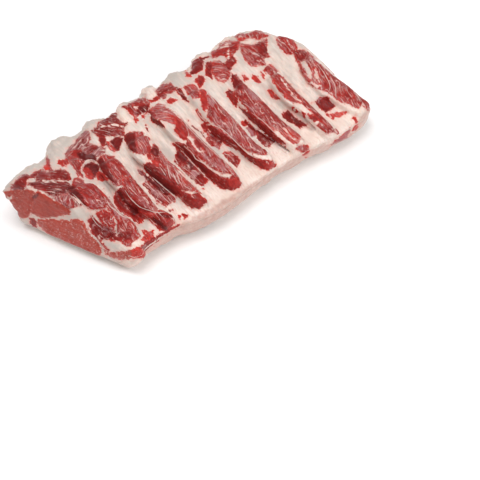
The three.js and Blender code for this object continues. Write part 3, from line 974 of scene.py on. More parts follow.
CHINE = (
    Mark(FAT, (117, 109, 121, 104, 128, 106, 129, 114, 133, 121, 124, 123, 117, 118), film=0, bulge=3),
    Mark(LEAN, (120, 106, 126, 105, 133, 102, 138, 98, 144, 98, 149, 101, 148, 110, 143, 114, 138, 114, 137,
         117, 131, 114, 127, 109), 0.52, 0.25, 0.7, bulge=1.6),
    # Dark lean in a pocket: its own colour, and painted shade in the hollow.
    Mark(LEAN, (139, 107, 148, 106, 147, 112, 142, 114, 137, 113), 0.82, 0, bulge=-1, edge=1.5),
    Mark(FAT, (133, 107, 138, 105.5, 137, 110), film=0.1),
    Mark(LEAN, (134, 118, 138, 120, 136.5, 122.5), 0.25),
    Mark(LEAN, (141.5, 116, 146, 114.5, 143.5, 119), 0.25),
    Mark(FAT, (142, 88, 155, 86, 158, 97, 148, 98, 140, 92), film=0.05, bulge=3),
    Mark(STAIN, (143, 88, 147, 88, 146, 91), tone=0.3, edge=1.5),
    Mark(STAIN, (139, 93, 146, 93, 146, 95.5, 140, 95), tone=0.8, film=0.4, edge=1.5),
    Mark(LEAN, (150, 100.5, 154, 98, 160, 97, 157, 100, 152, 102), 0.35, 0.2),
    Mark(LEAN, (157, 87, 161, 85, 170, 84, 175, 88, 174, 92, 166, 94, 165, 98, 160, 98, 157, 94), 0.55, 0.3,
         0.6, grain=-20, bulge=1.2),
    Mark(LEAN, (167, 102, 169, 99, 177, 99, 173, 103, 170, 104), 0.35, 0.2),
    Mark(LEAN, (188, 121, 190, 125, 196, 129, 202, 133, 204, 137), 0.95, 0.2, bulge=-1, width=0.1),
    Mark(FAT, (192, 57, 206, 52, 210, 55, 200, 58, 192, 60), film=0.3, bulge=2.4),
    Mark(LEAN, (191, 62, 194, 60, 200, 58, 203, 62, 202, 69, 196, 73, 190, 74, 193, 67), 0.66, 0.12, 0.2,
         bulge=1.4),
    Mark(FAT, (187, 67, 192, 67, 190, 72), film=0.1),
    Mark(LEAN, (185, 69, 188, 73, 191, 76, 186, 76), 0.3),
    Mark(LEAN, (200, 59.5, 209, 57.5, 204, 60), 0.8, 0.1),
    Mark(LEAN, (195, 80, 198, 76, 203, 76, 205, 80, 202, 85, 200, 90, 198, 84), 0.45, 0.1, bulge=1.2),
    Mark(LEAN, (210, 51, 214, 47, 222, 44, 228, 42, 232, 42, 240, 42, 239, 48, 233, 54, 227, 58, 222, 55,
         213, 58), 0.42, 0.2, 0.75, grain=-12, bulge=1.4),
    Mark(FAT, (212, 49.5, 219, 47, 225, 46.5, 228, 44, 228, 50, 229, 56), film=0.3, width=1.5),
    Mark(FAT, (214, 43, 226, 37, 236, 36, 226, 41, 218, 44), film=0.3, bulge=2),
    Mark(LEAN, (234, 35, 240, 33, 246, 34, 257, 30, 268, 36, 259, 40, 252, 38, 246, 38, 240, 41), 0.38, 0.25,
         0.9, grain=70, bulge=1.4),
    Mark(FAT, (241, 41, 247, 38.8, 253, 40, 250, 43.5, 243, 43.5), film=0, bulge=1.2),
    Mark(LEAN, (206, 63, 210, 62, 212, 65, 211, 73, 212, 79, 206, 75), 0.6, 0.1),
    Mark(LEAN, (213, 62, 219, 61, 222, 64, 226, 67, 230, 72, 229, 79, 223, 82, 218, 80, 212, 72), 0.34, 0.45,
         0.85, grain=12, bulge=1.8),
    Mark(LEAN, (221, 64, 229, 60, 232, 57, 236, 60, 233, 66, 230, 70, 225, 66), 0.6),
    Mark(LEAN, (240, 46, 246, 44, 252, 46, 258, 43, 266, 40, 266, 51, 269, 57, 263, 58, 266, 64, 251, 66,
         244, 57), 0.42, 0.45, 0.9, grain=40, bulge=1.8),
    Mark(LEAN, (257, 44, 266, 42, 267, 56, 260, 57, 258, 50), 0.62, 0.15, 0.5, edge=2),
    Mark(LEAN, (276, 39, 280, 36, 287, 36, 293, 41, 297, 48, 291, 54, 286, 53, 279, 46), 0.38, 0.4, 0.8,
         grain=50, bulge=1.8),
    Mark(STAIN, (218, 83, 222, 83, 221, 86), tone=0.2, edge=1.5),
)

STRIP_FOUR = (
    Mark(LEAN, (149, 110, 153, 108, 159, 104, 165, 106, 171, 111, 176, 116, 174, 124, 168, 122, 163, 119,
         158, 118, 153, 120), 0.34, 0.5, 0.85, grain=10, bulge=1.6),
    # Dark band along the foot of the near flank: the meat's own colour, and painted shade.
    Mark(LEAN, (149, 111, 153, 119, 159, 121, 165, 127.5, 158, 125, 152, 120), 0.9, 0.15, 0.1, bulge=-0.6),
    Mark(LEAN, (176, 117, 179, 119, 184, 122, 194, 132, 204, 142, 216, 155, 228, 166, 238, 176, 226, 174,
         214, 169, 203, 160, 190, 149, 186, 144, 188, 140, 181, 138, 175, 132), 0.42, 0.5, 0.85, grain=58,
         bulge=1.6),
    Mark(LEAN, (176, 117, 179, 120, 182, 130, 188, 138, 184, 140, 176, 133), 0.3, 0.1, 0.15),
    Mark(FAT, (187, 137, 191, 137, 198, 144, 204, 154, 199, 152, 192, 144), film=0.45),
    Mark(LEAN, (194, 138, 197, 139, 201, 146, 200, 150, 195, 143), 0.6, 0.6),
    Mark(LEAN, (173, 144, 178, 142, 184, 144, 194, 155, 206, 167, 216, 174, 226, 178, 232, 176, 237, 177,
         241, 184, 238, 188, 233, 190, 224, 189, 213, 183, 203, 172, 193, 162, 183, 151, 176, 148), 0.58,
         0.15, 0.4, bulge=0.5),
    # Dark band along the foot of the near flank: the meat's own colour, and painted shade.
    Mark(LEAN, (182, 146, 190, 152, 200, 162, 209, 172, 204, 172, 193, 160), 0.85, 0, 0.1, bulge=-0.5,
         edge=1.2),
    Mark(LEAN, (229, 180, 236, 178, 240, 183, 236, 187, 230, 186), 0.25, 0.1),
    Mark(FAT, (219, 172.5, 226, 174, 233, 175, 229, 178, 222, 177), film=0.25),
)

BED_THREE = (
    Mark(LEAN, (171, 163, 175, 160, 177, 149, 182, 153, 192, 164, 201, 173, 208, 181, 203, 186, 196, 184,
         189, 178, 179, 169), 0.52, 0.35, 1, bulge=-1.2),
    # These two dark patches at the foot of strip four are the meat's own colour, and painted shade.
    Mark(LEAN, (178, 150, 186, 158, 184, 161, 177, 156), 0.85, 0.1, bulge=-1),
    Mark(LEAN, (188, 161, 193, 166, 191, 169), 0.9, 0.1),
    Mark(FILM, (191, 170, 197, 171, 200, 174, 199, 185, 193, 180), film=1),
    Mark(LEAN, (196, 178, 201, 174, 208, 180, 203, 186, 197, 184), 0.55, 0.4, bulge=1.8),
    Mark(STAIN, (159, 147, 168, 149, 174, 158, 168, 160), tone=0.6, film=0.8, edge=2),
    Mark(FILM, (159, 148, 168, 149, 174, 157, 171, 162, 162, 154), film=0.9, edge=1.5),
)

STRIP_FIVE = (
    Mark(LEAN, (176, 88, 180, 88, 184, 94, 188, 102, 183, 99, 178, 93), 0.7),
    Mark(LEAN, (184, 87, 188, 85, 195, 86, 199, 91, 200, 97, 194, 98, 188, 94), 0.36, 0.45, 0.8, bulge=1.4),
    Mark(LEAN, (200, 88, 204, 88, 207, 97, 208, 109, 204, 110, 200, 98), 0.22, 0.1, 0.2, bulge=0.8),
    Mark(LEAN, (208, 95, 216, 102, 228, 114, 244, 132, 256, 144, 268, 151, 265, 155, 252, 153, 240, 145, 226,
         132, 215, 125, 208, 117), 0.44, 0.5, 0.95, grain=60, bulge=1.8),
    Mark(FILM, (207, 96, 213, 100, 214, 108, 208, 106), film=0.85),
    Mark(LEAN, (207, 126, 212, 126, 222, 131, 233, 140, 247, 154, 258, 160, 267, 161, 274, 161, 275, 166,
         269, 170, 262, 168, 250, 160, 238, 150, 226, 144, 214, 136), 0.56, 0.12, 0.4, bulge=0.5),
    Mark(LEAN, (263, 163, 270, 162, 275, 164, 270, 168, 265, 167), 0.3, 0.1),
    Mark(LEAN, (197, 111, 200, 116, 204, 121, 207, 123), 0.3, width=1.6),
    Mark(LEAN, (201, 124, 205, 124, 209, 132, 207, 134.5, 203, 129), 0.5, 0.2),
    Mark(LEAN, (205, 141, 210, 134, 215, 138, 222, 145, 219, 149, 210, 146), 0.42, 0.3, 1, bulge=-0.8),
    # Painted shadow: a dark line along the foot of the near flank.
    Mark(LEAN, (211, 134, 215, 138, 220, 143), 0.9, 0, bulge=-1, width=1.6),
    Mark(FILM, (211, 146, 220, 147, 220, 152, 213, 151), film=1),
    Mark(LEAN, (222, 155, 226, 152, 231, 152, 239, 158, 240, 162, 236, 167, 229, 164), 0.5, 0.35, 1),
)

STRIP_SIX = (
    Mark(LEAN, (226, 92, 229, 90, 233, 92, 238, 102, 237, 107, 232, 102), 0.45, 0.1, 0.4),
    Mark(LEAN, (232, 75, 236, 75, 241, 81, 246, 86, 256, 94, 260, 99, 272, 110, 283, 121, 296, 131, 300, 138,
         297, 144, 289, 140, 279, 131, 268, 125, 254, 115, 243, 104, 235, 94, 236, 89, 233, 83), 0.46, 0.42,
         0.85, grain=54, bulge=1.8),
    Mark(LEAN, (232, 75, 236, 76, 242, 84, 239, 89, 234, 86), 0.7, 0.1, 0.2),
    Mark(FILM, (248, 89, 258, 95, 259, 100, 250, 98), film=0.9),
    Mark(LEAN, (240, 108, 245, 110, 255, 116, 268, 126, 275, 134, 284, 142, 286, 145, 277, 142, 265, 132,
         251, 120), 0.56, 0.12, 0.4, bulge=0.4),
    Mark(LEAN, (280, 130, 287, 127, 296, 130, 300, 138, 297, 144, 288, 140), 0.25, 0.5, 1, bulge=1.2),
    Mark(FAT, (284, 128, 288, 133, 294, 139), film=0.4, width=1.2),
    Mark(LEAN, (296, 149, 300, 146, 308, 146, 309, 150, 304, 155, 301, 151), 0.35, 0.2, bulge=1.2),
    Mark(FILM, (297, 143, 304, 146, 303, 150, 297, 149), film=0.9),
    Mark(LEAN, (239.5, 126, 242, 122, 245.5, 121.5, 246.5, 125, 242.5, 129.5), 0.2),
    Mark(LEAN, (246, 128, 251, 127, 256, 131, 254, 136, 249, 136), 0.5, 1),
    Mark(LEAN, (255, 131, 262, 134, 270, 138, 275, 140, 271, 145, 266, 148, 259, 142), 0.62, 0.25, 0.8,
         bulge=-0.6),
    # Painted shadow: a dark line along the foot of the near flank.
    Mark(LEAN, (245, 121, 252, 128, 262, 134, 273, 141), 0.8, 0, bulge=-0.8, width=1.4),
    Mark(LEAN, (243, 75, 248.5, 79.5, 245, 80.5), 0.3),
    Mark(LEAN, (252, 75.5, 256, 76, 260, 82, 257, 83, 253, 79), 0.3),
    Mark(LEAN, (261, 73, 264.5, 74, 264, 78.5), 0.2, 0.1),
)

STRIP_SEVEN = (
    Mark(LEAN, (264, 70, 268, 64, 272, 66, 277, 72, 283, 77, 290, 84, 300, 94, 315, 108, 326, 120, 336, 128,
         339, 134, 331, 131, 327, 134, 318, 126, 320, 122, 310, 110, 300, 102, 293, 102, 283, 95, 276, 86,
         271, 75), 0.46, 0.3, 0.85, bulge=1.4),
    Mark(LEAN, (271, 74, 278, 79, 283, 86, 287, 94, 296, 101, 289, 100, 279, 91, 273, 81), 0.32, 0.3, 0.8),
    Mark(FAT, (282, 79, 288, 89, 294, 96, 301, 101.5), film=0.5, width=1.2),
    Mark(STAIN, (258, 82, 268, 86, 280, 97, 294, 109, 308, 121, 312, 129, 300, 122, 284, 110, 268, 98),
         tone=0.6, film=0.6, edge=2.5),
    Mark(LEAN, (268, 91, 272, 91.5, 279.5, 99, 275, 99.5), 0.45, 0.2),
    Mark(LEAN, (291, 107, 294, 107.5, 292.5, 110), 0.5, 0.2),
    Mark(LEAN, (296, 109, 299, 112, 296, 112.5), 0.5, 0.2),
    Mark(LEAN, (303, 112.5, 306.5, 114, 304, 117), 0.5, 0.2),
    Mark(LEAN, (308, 115, 312, 115.5, 318, 119.5, 314, 122), 0.5, 0.2),
    # Dark lean in the pocket under the near flank: its own colour, and painted shade.
    Mark(LEAN, (281, 119, 283, 113, 287, 110, 297, 120, 306, 126, 300, 128, 291, 122), 0.7, 0.2, bulge=-1.2),
    # Painted shadow: the black line at the foot of the near flank.
    Mark(LEAN, (287, 112, 292, 117, 299, 121, 306, 125), 0.8, 0, bulge=-0.8, width=2),
    Mark(STAIN, (304, 124, 316, 127, 312, 130, 304, 127), tone=0.5, edge=2),
    Mark(FILM, (282, 70, 286, 74, 299, 88, 294, 86, 283, 76), film=0.8, edge=1.5),
)

FAR_SHEET = (
    Mark(LEAN, (294, 52, 299, 50, 305, 51, 311, 55, 318, 62, 335, 74, 350, 85, 367, 98, 372, 105, 368, 110,
         362, 104, 358, 108, 350, 104, 341, 102, 333, 96, 327, 91, 317, 88, 309, 84, 304, 77, 300, 71, 300,
         65, 296, 60), 0.42, 0.38, 0.85, grain=62, bulge=1.6),
    Mark(FILM, (302, 58, 312, 64, 319, 76, 317, 86, 308, 80, 302, 70), film=0.6, edge=2),
    Mark(FAT, (300, 62, 305, 60, 309, 67, 313, 78, 310, 79, 305, 71), film=0.6, bulge=0.3),
    Mark(FAT, (314, 68, 318, 73, 320, 82, 316, 79), film=0.6, bulge=0.3),
    Mark(FAT, (309, 80, 316, 84, 322, 86, 316, 88), film=0.4, bulge=0.3),
    Mark(LEAN, (294, 52, 299, 50, 305, 52, 305, 58, 299, 59), 0.62, bulge=0.8),
    Mark(LEAN, (316, 102, 320, 98, 327, 97, 335, 106, 331, 110, 325, 112, 319, 108), 0.68, 0.15, 0.2,
         bulge=-1.4),
    Mark(FILM, (316, 97, 323, 98, 318, 104), film=1),
    Mark(LEAN, (331, 114.5, 338, 112.5, 346, 112, 340, 115.5, 334, 116.5), 0.1, 0.2, 0.7),
    Mark(LEAN, (325, 115.5, 329, 116, 333, 118.5), 0.25, 0.2, width=1.6),
    Mark(LEAN, (354, 118, 357, 123, 355, 128, 353, 131), 0.3, 0.2, width=1.6),
    Mark(LEAN, (350, 128, 347, 136, 340, 142, 331, 144, 343, 136, 347, 131), 0.4, 0.8, 0.4),
    Mark(STAIN, (318, 131, 322, 134, 327, 138, 332, 140), tone=0.25, width=2, edge=1.2),
)

FRONT_SIDE = (
    Mark(STAIN, (144, 250, 167, 231, 193, 218, 232, 195, 275, 170, 302, 153, 331, 142, 352, 130, 357, 120,
         371, 106, 370, 118, 346, 143, 299, 166, 271, 183, 247, 202, 208, 229, 166, 246, 144, 261), tone=0.7,
         edge=2),
)

MARKS = (FRONT_SIDE + TOP_LEFT + EYE_CUT + CHINE + STRIP_ONE + STRIP_TWO + BED_TWO + STRIP_THREE + BED_THREE
         + STRIP_FOUR + STRIP_FIVE + STRIP_SIX + STRIP_SEVEN + FAR_SHEET)


@dataclass(frozen=True)
class Strand:
    """One strand of fascia, traced in the frame of the viewpoint."""

    course: Outline
    width: float = 0.8              # mm


STRANDS = (
    Strand((72, 193, 76, 197, 81, 202, 86, 208, 90, 214, 96, 223, 104, 230)),
    Strand((107, 200, 110, 206, 116, 211, 122, 216, 129, 218), 1.4),
    Strand((125, 190, 129, 196.5, 134, 202, 140, 207, 148, 210, 157, 212.5, 165, 212, 173, 210.5), 0.9),
    Strand((83.3, 169, 83.8, 164, 86.5, 161, 90.5, 159.8, 94.5, 160.6, 97.5, 163.2), 0.9),
    Strand((145, 133, 149, 137, 154, 144)),
    Strand((160, 167, 166, 176)),
    Strand((167, 164, 169, 174, 171, 179)),
    Strand((173, 173, 176, 180, 178, 184)),
    Strand((177, 173, 180, 183)),
    Strand((170, 162, 178, 168, 184, 174, 190, 181, 196, 188)),
    Strand((152, 177, 158, 182, 166, 189, 172, 194, 176, 198), 1.5),
    Strand((185, 175, 195, 186, 203, 195, 207, 200)),
    Strand((165, 108, 173, 111, 179, 116, 184, 122, 190, 129, 200, 139, 207, 146, 220, 158, 237, 176), 0.9),
    Strand((184, 146, 192, 153, 196, 159, 203, 163, 210, 169, 216, 173, 222, 176, 226, 178), 1.0),
    Strand((180, 149, 190, 160, 200, 171, 206, 177, 212, 182)),
    Strand((209, 122, 216, 126, 222, 129, 229, 135, 236, 142, 243, 149, 250, 155, 258, 159), 1.0),
    Strand((197, 111, 200, 116, 204, 120, 207, 122)),
    Strand((252, 113, 259, 118, 265, 123, 270, 128, 277, 135, 283, 139)),
    Strand((282, 143, 288, 147, 295, 151)),
    Strand((300, 137, 308, 143)),
    Strand((293, 78, 299, 84)),
    Strand((317, 64, 324, 73, 330, 85, 329, 91)),
    Strand((330, 76, 335, 86, 336, 97)),
    Strand((353, 91, 358, 97, 360.5, 102)),
    Strand((88, 232, 96, 238, 104, 248, 108, 251)),
)


# ---- From marks to the surface ----

@dataclass(frozen=True)
class FarLobe:
    """A round muscle in the far cut, in millimetres across the roast and up."""

    y: float
    z: float
    half_width: float
    half_height: float
    tone: float
    marbling: float

FAR_LOBES = (
    FarLobe(12.0, 31.0, 36.0, 19.0, 0.3, 0.5),
    FarLobe(-30.0, 36.0, 15.0, 8.0, 0.45, 0.8),
    FarLobe(-42.0, 20.0, 26.0, 6.5, 0.4, 0.7),
    FarLobe(-70.0, 31.0, 16.0, 5.0, 0.5, 0.7),
    FarLobe(46.0, 44.0, 9.0, 6.0, 0.7, 0.3),
)


@dataclass
class Anatomy:
    """Lays the marks on a skin: its relief, and the tissue of each point."""

    form: RoastForm
    grower: Grower
    pixel: float = 1.02             # mm of depth that each pixel inside a mark's outline counts for
    rim_pull: float = 3.5           # pixels
    fullness: float = 0.8           # mm that the lean swells past its outline
    cell: float = 2.5               # pixels: the patch of the frame that one depth is kept for
    reach: float = 8.0              # pixels around a mark that it can change
    facing: Range = (-0.02, 0.14)   # how much a point faces the viewpoint, from unseen to seen
    behind: Range = (9.0, 16.0)     # mm behind the first point seen there, from seen to hidden
    lobe_roll: float = 4.5          # mm inside its border at which a lobe stands at its full height
    crease_depth: float = 0.45      # of the crease along that border
    crease_width: float = 1.3
    tear_along: float = 2.2         # pixels that borders wander along the fibres
    along_size: float = 8.0         # mm, of one such swing
    tear_across: float = 0.9
    across_size: float = 10.0
    film_shade_eye_end: float = 0.5       # share of grey film on the beds' fat, beside the eye end: membrane, and painted shade that keeps the top darker than the shelf
    film_shade_far_end: float = 0.4       # and at the far end
    film_shade_rim: float = 0.4           # how much more there is on the backbone rim
    eye_end_film_shade: float = 0.85               # the least grey film that the eye end's fat has: membrane, and painted shade that darkens that end
    torn_rise: float = 3.0          # strength of the torn relief on the backbone rim, in mm
    torn_size: float = 8.0          # mm, of the largest of its tags
    thread_rise: float = 0.5        # strength of the fibres' relief
    lump_rise: float = 0.55         # of the lumps
    lump_size: float = 13.0
    grit_rise: float = 0.3          # and of the grit
    fine_size: float = 4.5          # mm, of fibres and grit

    def depths(self, pixels: Array, depth: Array) -> Array:
        """How far each point lies behind the first one seen near its pixel, in mm."""
        cell = np.floor(pixels / self.cell).astype(int)
        side = 4 + int(self.form.view.frame_pixels / self.cell)
        index = np.clip(cell[:, 0], 0, side - 1) * side + np.clip(cell[:, 1], 0, side - 1)
        nearest = np.full(side * side, 1e9)
        np.minimum.at(nearest, index, depth)
        return depth - nearest[index]

    def seen(self, skin: Skin, normals: Array) -> Array:
        """How plainly each point is seen from the viewpoint, from 0 to 1."""
        view = self.form.view
        pixels, depth = view.project(skin.points)
        behind = self.depths(pixels, depth)
        facing = normals @ view.toward
        share = smoothstep(facing, *self.facing) * (1.0 - smoothstep(behind, *self.behind))
        return skin.relaxed(share, 2)

    def plan(self, points: Array, values: Array) -> Array:
        """Reads a field of the plan at points.

        Args:
            points: Places in millimetres.
            values: The field, sampled on the grower's grid.

        Returns:
            One value for each point.
        """
        grid = self.grower.grid
        at = (points[:, :2] - np.array(grid.low)[:2]) / grid.pitch
        at = np.clip(at, 0.0, np.array(values.shape) - 1.001)
        cell = at.astype(int)
        x, y = (at - cell).T
        i, j = cell.T
        low = lerp(values[i, j], values[i + 1, j], x)
        return lerp(low, lerp(values[i, j + 1], values[i + 1, j + 1], x), y)

    def marked(self, points: Array, normals: Array) -> tuple[Surface, Array]:
        """Lays every mark on points as the viewpoint sees them.

        A point that is seen edge-on takes the tissue of what lies a little inside the outline.

        Args:
            points: Places in millimetres.
            normals: Their normals.

        Returns:
            Their tissue, and how far each stands proud.
        """
        view = self.form.view
        pixels, _ = view.project(points)
        edge_on = 1.0 - smoothstep(normals @ view.toward, 0.0, 0.45)
        outward = np.stack([normals @ view.right, -(normals @ view.up)], axis=1)
        pixels += self.raggedness(points) - self.rim_pull * edge_on[:, None] * outward
        surface = Surface.of_fat(len(points), view.grain(RIB_ANGLE))
        x, y = points[:, 0], points[:, 1]
        # Painted shade, with membrane: a grey film over the beds and the backbone rim, a little stronger at
        # the eye end, keeps the top darker than the front shelf.
        film_shade = lerp(self.film_shade_eye_end, self.film_shade_far_end, smoothstep(x, 60.0, 160.0))
        surface.film = film_shade * smoothstep(y, -88.0, -55.0) + self.film_shade_rim * smoothstep(y, 45.0, 80.0)
        proud = np.zeros(len(points))
        for mark in MARKS:
            self._lay(mark, pixels, surface, proud)
        # Painted shade, with membrane: the fat at the eye end takes a grey film at least this thick,
        # darkening that end.
        eye_end_film_shade = self.eye_end_film_shade * smoothstep(-x, 30.0, 130.0) * smoothstep(y, -98.0, -70.0)
        surface.film = np.maximum(surface.film, np.where(surface.meat < 0.0, eye_end_film_shade, 0.0))
        return surface, proud

    def raggedness(self, points: Array) -> Array:
        """How far the borders wander from their outlines, in pixels: most along the fibres, which tear."""
        turn = math.radians(RIB_ANGLE)
        along = np.array((math.cos(turn), math.sin(turn)))
        across = np.array((math.sin(turn), -math.cos(turn)))
        torn = Noise(31).octaves(points, self.along_size)[:, None] * self.tear_along * along
        return torn + Noise(32).octaves(points, self.across_size)[:, None] * self.tear_across * across

    def _lay(self, mark: Mark, pixels: Array, surface: Surface, proud: Array) -> None:
        """Lays one mark.

        Args:
            mark: The mark.
            pixels: Where each point falls in the frame.
            surface: The tissue so far, changed in place.
            proud: The relief so far, changed in place.
        """
        line = mark.width > 0.0
        path = np.array(mark.outline, float).reshape(-1, 2)
        some = near(path, pixels, self.reach)
        if not len(some):
            return
        inside = distance_to(path, pixels[some], closed=not line)
        inside = (mark.width / 2 - inside if line else inside) * self.pixel
        if mark.tissue is LEAN:
            inside += self.fullness
        share = smoothstep(inside, -mark.edge, mark.edge)

        def move(name: str, value: float) -> None:
            """Moves one field towards a value inside the mark."""
            values = getattr(surface, name)
            values[some] = lerp(values[some], value, share)

        if mark.tissue in (LEAN, CUT):
            surface.meat[some] = np.maximum(surface.meat[some], inside)
            for name in ("tone", "film", "marbling"):
                move(name, getattr(mark, name))
            move("cut", float(mark.tissue is CUT))
            surface.grain[some[share > 0.5]] = self.form.view.grain(mark.grain)
        else:
            move("film", mark.film)
        if mark.tissue is FAT:
            surface.meat[some] = np.minimum(surface.meat[some], -inside)
            move("stain", 0.0)
        if mark.tissue is STAIN:
            move("stain", mark.tone)
        if mark.tissue in (LEAN, CUT, FAT):
            rise = 1.0 - (1.0 - np.clip(inside / self.lobe_roll, 0.0, 1.0)) ** 2
            crease = self.crease_depth * np.exp(-(inside / self.crease_width) ** 2)
            proud[some] += mark.bulge * rise - crease

    def unseen(self, points: Array, normals: Array) -> tuple[Surface, Array]:
        """The tissue of what the viewpoint doesn't see.

        Args:
            points: Places in millimetres.
            normals: Their normals.

        Returns:
            Their tissue, and how far each stands proud.
        """
        form = self.form
        surface = Surface.of_fat(len(points), np.array((1.0, 0.0, 0.0)))
        stretched = points * (0.55, 1.0, 1.25)
        lobes = Noise(11).octaves(stretched, 21.0, 2)
        shade = Noise(12).octaves(stretched, 16.0, 2)
        inside_crest = self.plan(points, self.grower.inside_crest)
        top = smoothstep(normals[:, 2], 0.25, 0.6)
        flank = (lobes - 0.12 + 0.25 * smoothstep(points[:, 2], 15.0, 45.0)) * 13.0 - 2.0
        surface.meat = lerp(flank, np.minimum(inside_crest + 3.5, 8.0), np.maximum(top, inside_crest > -6.0))
        surface.tone = np.clip(0.45 + 0.5 * shade, 0.1, 0.95)
        surface.film = np.clip(0.3 + 0.7 * Noise(13).octaves(points, 40.0, 2), 0.0, 1.0)
        surface.marbling = np.full(len(points), 0.45)
        surface.stain = np.clip(0.8 * Noise(14).octaves(points, 26.0, 2), 0.0, 0.6)
        proud = 1.6 * smoothstep(surface.meat, -1.0, 5.0) * (1.0 - top)
        self._far_cut(points, normals, surface, proud)
        low = points[:, 2] < form.front_rim_height
        surface.meat[low & (points[:, 1] < 0.0) & (normals[:, 0] < 0.5)] = PLAIN_FAT
        return surface, proud

    def _far_cut(self, points: Array, normals: Array, surface: Surface, proud: Array) -> None:
        """Lays the muscles of the far cut.

        Args:
            points: Places in millimetres.
            normals: Their normals.
            surface: The tissue so far, changed in place.
            proud: The relief so far, changed in place.
        """
        share = smoothstep(normals[:, 0], 0.45, 0.75) * smoothstep(points[:, 0], 200.0, 212.0)
        wander = 2.5 * Noise(15).octaves(points, 22.0, 2)
        meat = np.full(len(points), PLAIN_FAT)
        tone, marbling = np.full(len(points), 0.3), np.full(len(points), 0.5)
        for lobe in FAR_LOBES:
            across = (points[:, 1] - lobe.y) / lobe.half_width
            up = (points[:, 2] - lobe.z) / lobe.half_height
            reach = (1.0 - np.hypot(across, up)) * min(lobe.half_width, lobe.half_height) + wander
            tone = np.where(reach > 0.0, lobe.tone, tone)
            marbling = np.where(reach > 0.0, lobe.marbling, marbling)
            meat = np.maximum(meat, reach)
        for name, found in (("meat", meat), ("tone", tone), ("marbling", marbling), ("film", 0.0)):
            setattr(surface, name, lerp(getattr(surface, name), found, share))
        surface.cut = np.maximum(surface.cut, share)
        proud += share * 0.8 * smoothstep(meat, -1.0, 4.0)

    def whole(self, skin: Skin) -> tuple[Surface, Array]:
        """The tissue and relief of a skin, seen or not.

        Args:
            skin: The skin as it lies.

        Returns:
            Its tissue, and how far each point stands proud.
        """
        normals = skin.normals()
        seen = self.seen(skin, normals)
        marked, marked_proud = self.marked(skin.points, normals)
        unseen, unseen_proud = self.unseen(skin.points, normals)
        return unseen.blend(marked, seen), lerp(unseen_proud, marked_proud, seen)

    def raise_relief(self, skin: Skin) -> None:
        """Lifts a skin's lobes, sinks its creases and roughens it, in place."""
        surface, proud = self.whole(skin)
        proud = skin.relaxed(proud, 1)
        points = skin.points
        meat = smoothstep(surface.meat, -0.6, 0.6)
        along = np.einsum("ij,ij->i", points, surface.grain)
        across = points - 0.82 * along[:, None] * surface.grain
        threads = Noise(21).octaves(across, self.fine_size, 2) * self.thread_rise
        lumps = Noise(22).octaves(points, self.lump_size) * self.lump_rise
        grit = Noise(23).octaves(points, self.fine_size, 2) * self.grit_rise
        smooth = 0.3 + 0.7 * smoothstep(points[:, 2], 26.0, 42.0)
        torn = np.abs(Noise(24).octaves(points, self.torn_size)) - 0.25
        from_rim = self.form.back(points[:, 0]) - points[:, 1]
        at_rim = smoothstep(-from_rim, -24.0, -10.0)
        proud += self.torn_rise * torn * at_rim * smoothstep(points[:, 2], 34.0, 48.0)
        proud += lerp((lumps * 0.8 + grit + threads * 0.5) * smooth, threads + lumps * 0.9 + grit, meat)
        skin.points += skin.normals() * proud[:, None]
        skin.points[:, 2] = np.maximum(skin.points[:, 2], 0.0)


# ---- Meshes ----

def to_mesh(name: str, skin: Skin, shift: Array) -> bpy.types.Object:
    """Makes an object of a skin.

    Args:
        name: The object's name.
        skin: Its points in millimetres and its faces.
        shift: Millimetres from the drawn place to the place in the frame of the part.

    Returns:
        The object, linked to the scene.
    """
    mesh = bpy.data.meshes.new(name)
    mesh.vertices.add(len(skin.points))
    mesh.vertices.foreach_set("co", ((skin.points + shift) * MM).astype(np.float32).ravel())
    mesh.loops.add(skin.faces.size)
    mesh.loops.foreach_set("vertex_index", skin.faces.ravel())
    mesh.polygons.add(len(skin.faces))
    starts = np.arange(0, skin.faces.size, skin.faces.shape[1], dtype=np.int32)
    mesh.polygons.foreach_set("loop_start", starts)
    mesh.update(calc_edges=True)
    return placed(name, mesh)


HIDDEN_FIRST = 50.0             # how strongly the thinning prefers what is hidden


def thinned(skin: Skin, hidden: Array, ratio: float) -> Skin:
    """Thins out a skin where it isn't seen.

    Args:
        skin: The fine skin.
        hidden: How little each point is seen, from 0 to 1.
        ratio: Share of the faces to keep.

    Returns:
        A skin of triangles.
    """
    piece = to_mesh("fine_skin", skin, np.zeros(3))
    group = piece.vertex_groups.new(name="hidden")
    for level in np.unique(np.round(hidden, 1)):
        members = np.nonzero(np.round(hidden, 1) == level)[0]
        group.add([int(index) for index in members], float(level), "REPLACE")
    thinning = piece.modifiers.new("thinning", "DECIMATE")
    thinning.ratio = ratio
    thinning.vertex_group = group.name
    thinning.vertex_group_factor = HIDDEN_FIRST
    thinning.use_collapse_triangulate = True
    mesh = applied(piece)
    points = np.zeros(len(mesh.vertices) * 3)
    mesh.vertices.foreach_get("co", points)
    mesh.calc_loop_triangles()
    faces = np.zeros(len(mesh.loop_triangles) * 3, np.int32)
    mesh.loop_triangles.foreach_get("vertices", faces)
    spent = piece.data
    bpy.data.objects.remove(piece)
    for used in (spent, mesh):
        bpy.data.meshes.remove(used)
    return Skin(points.reshape(-1, 3) / MM, faces.reshape(-1, 3))


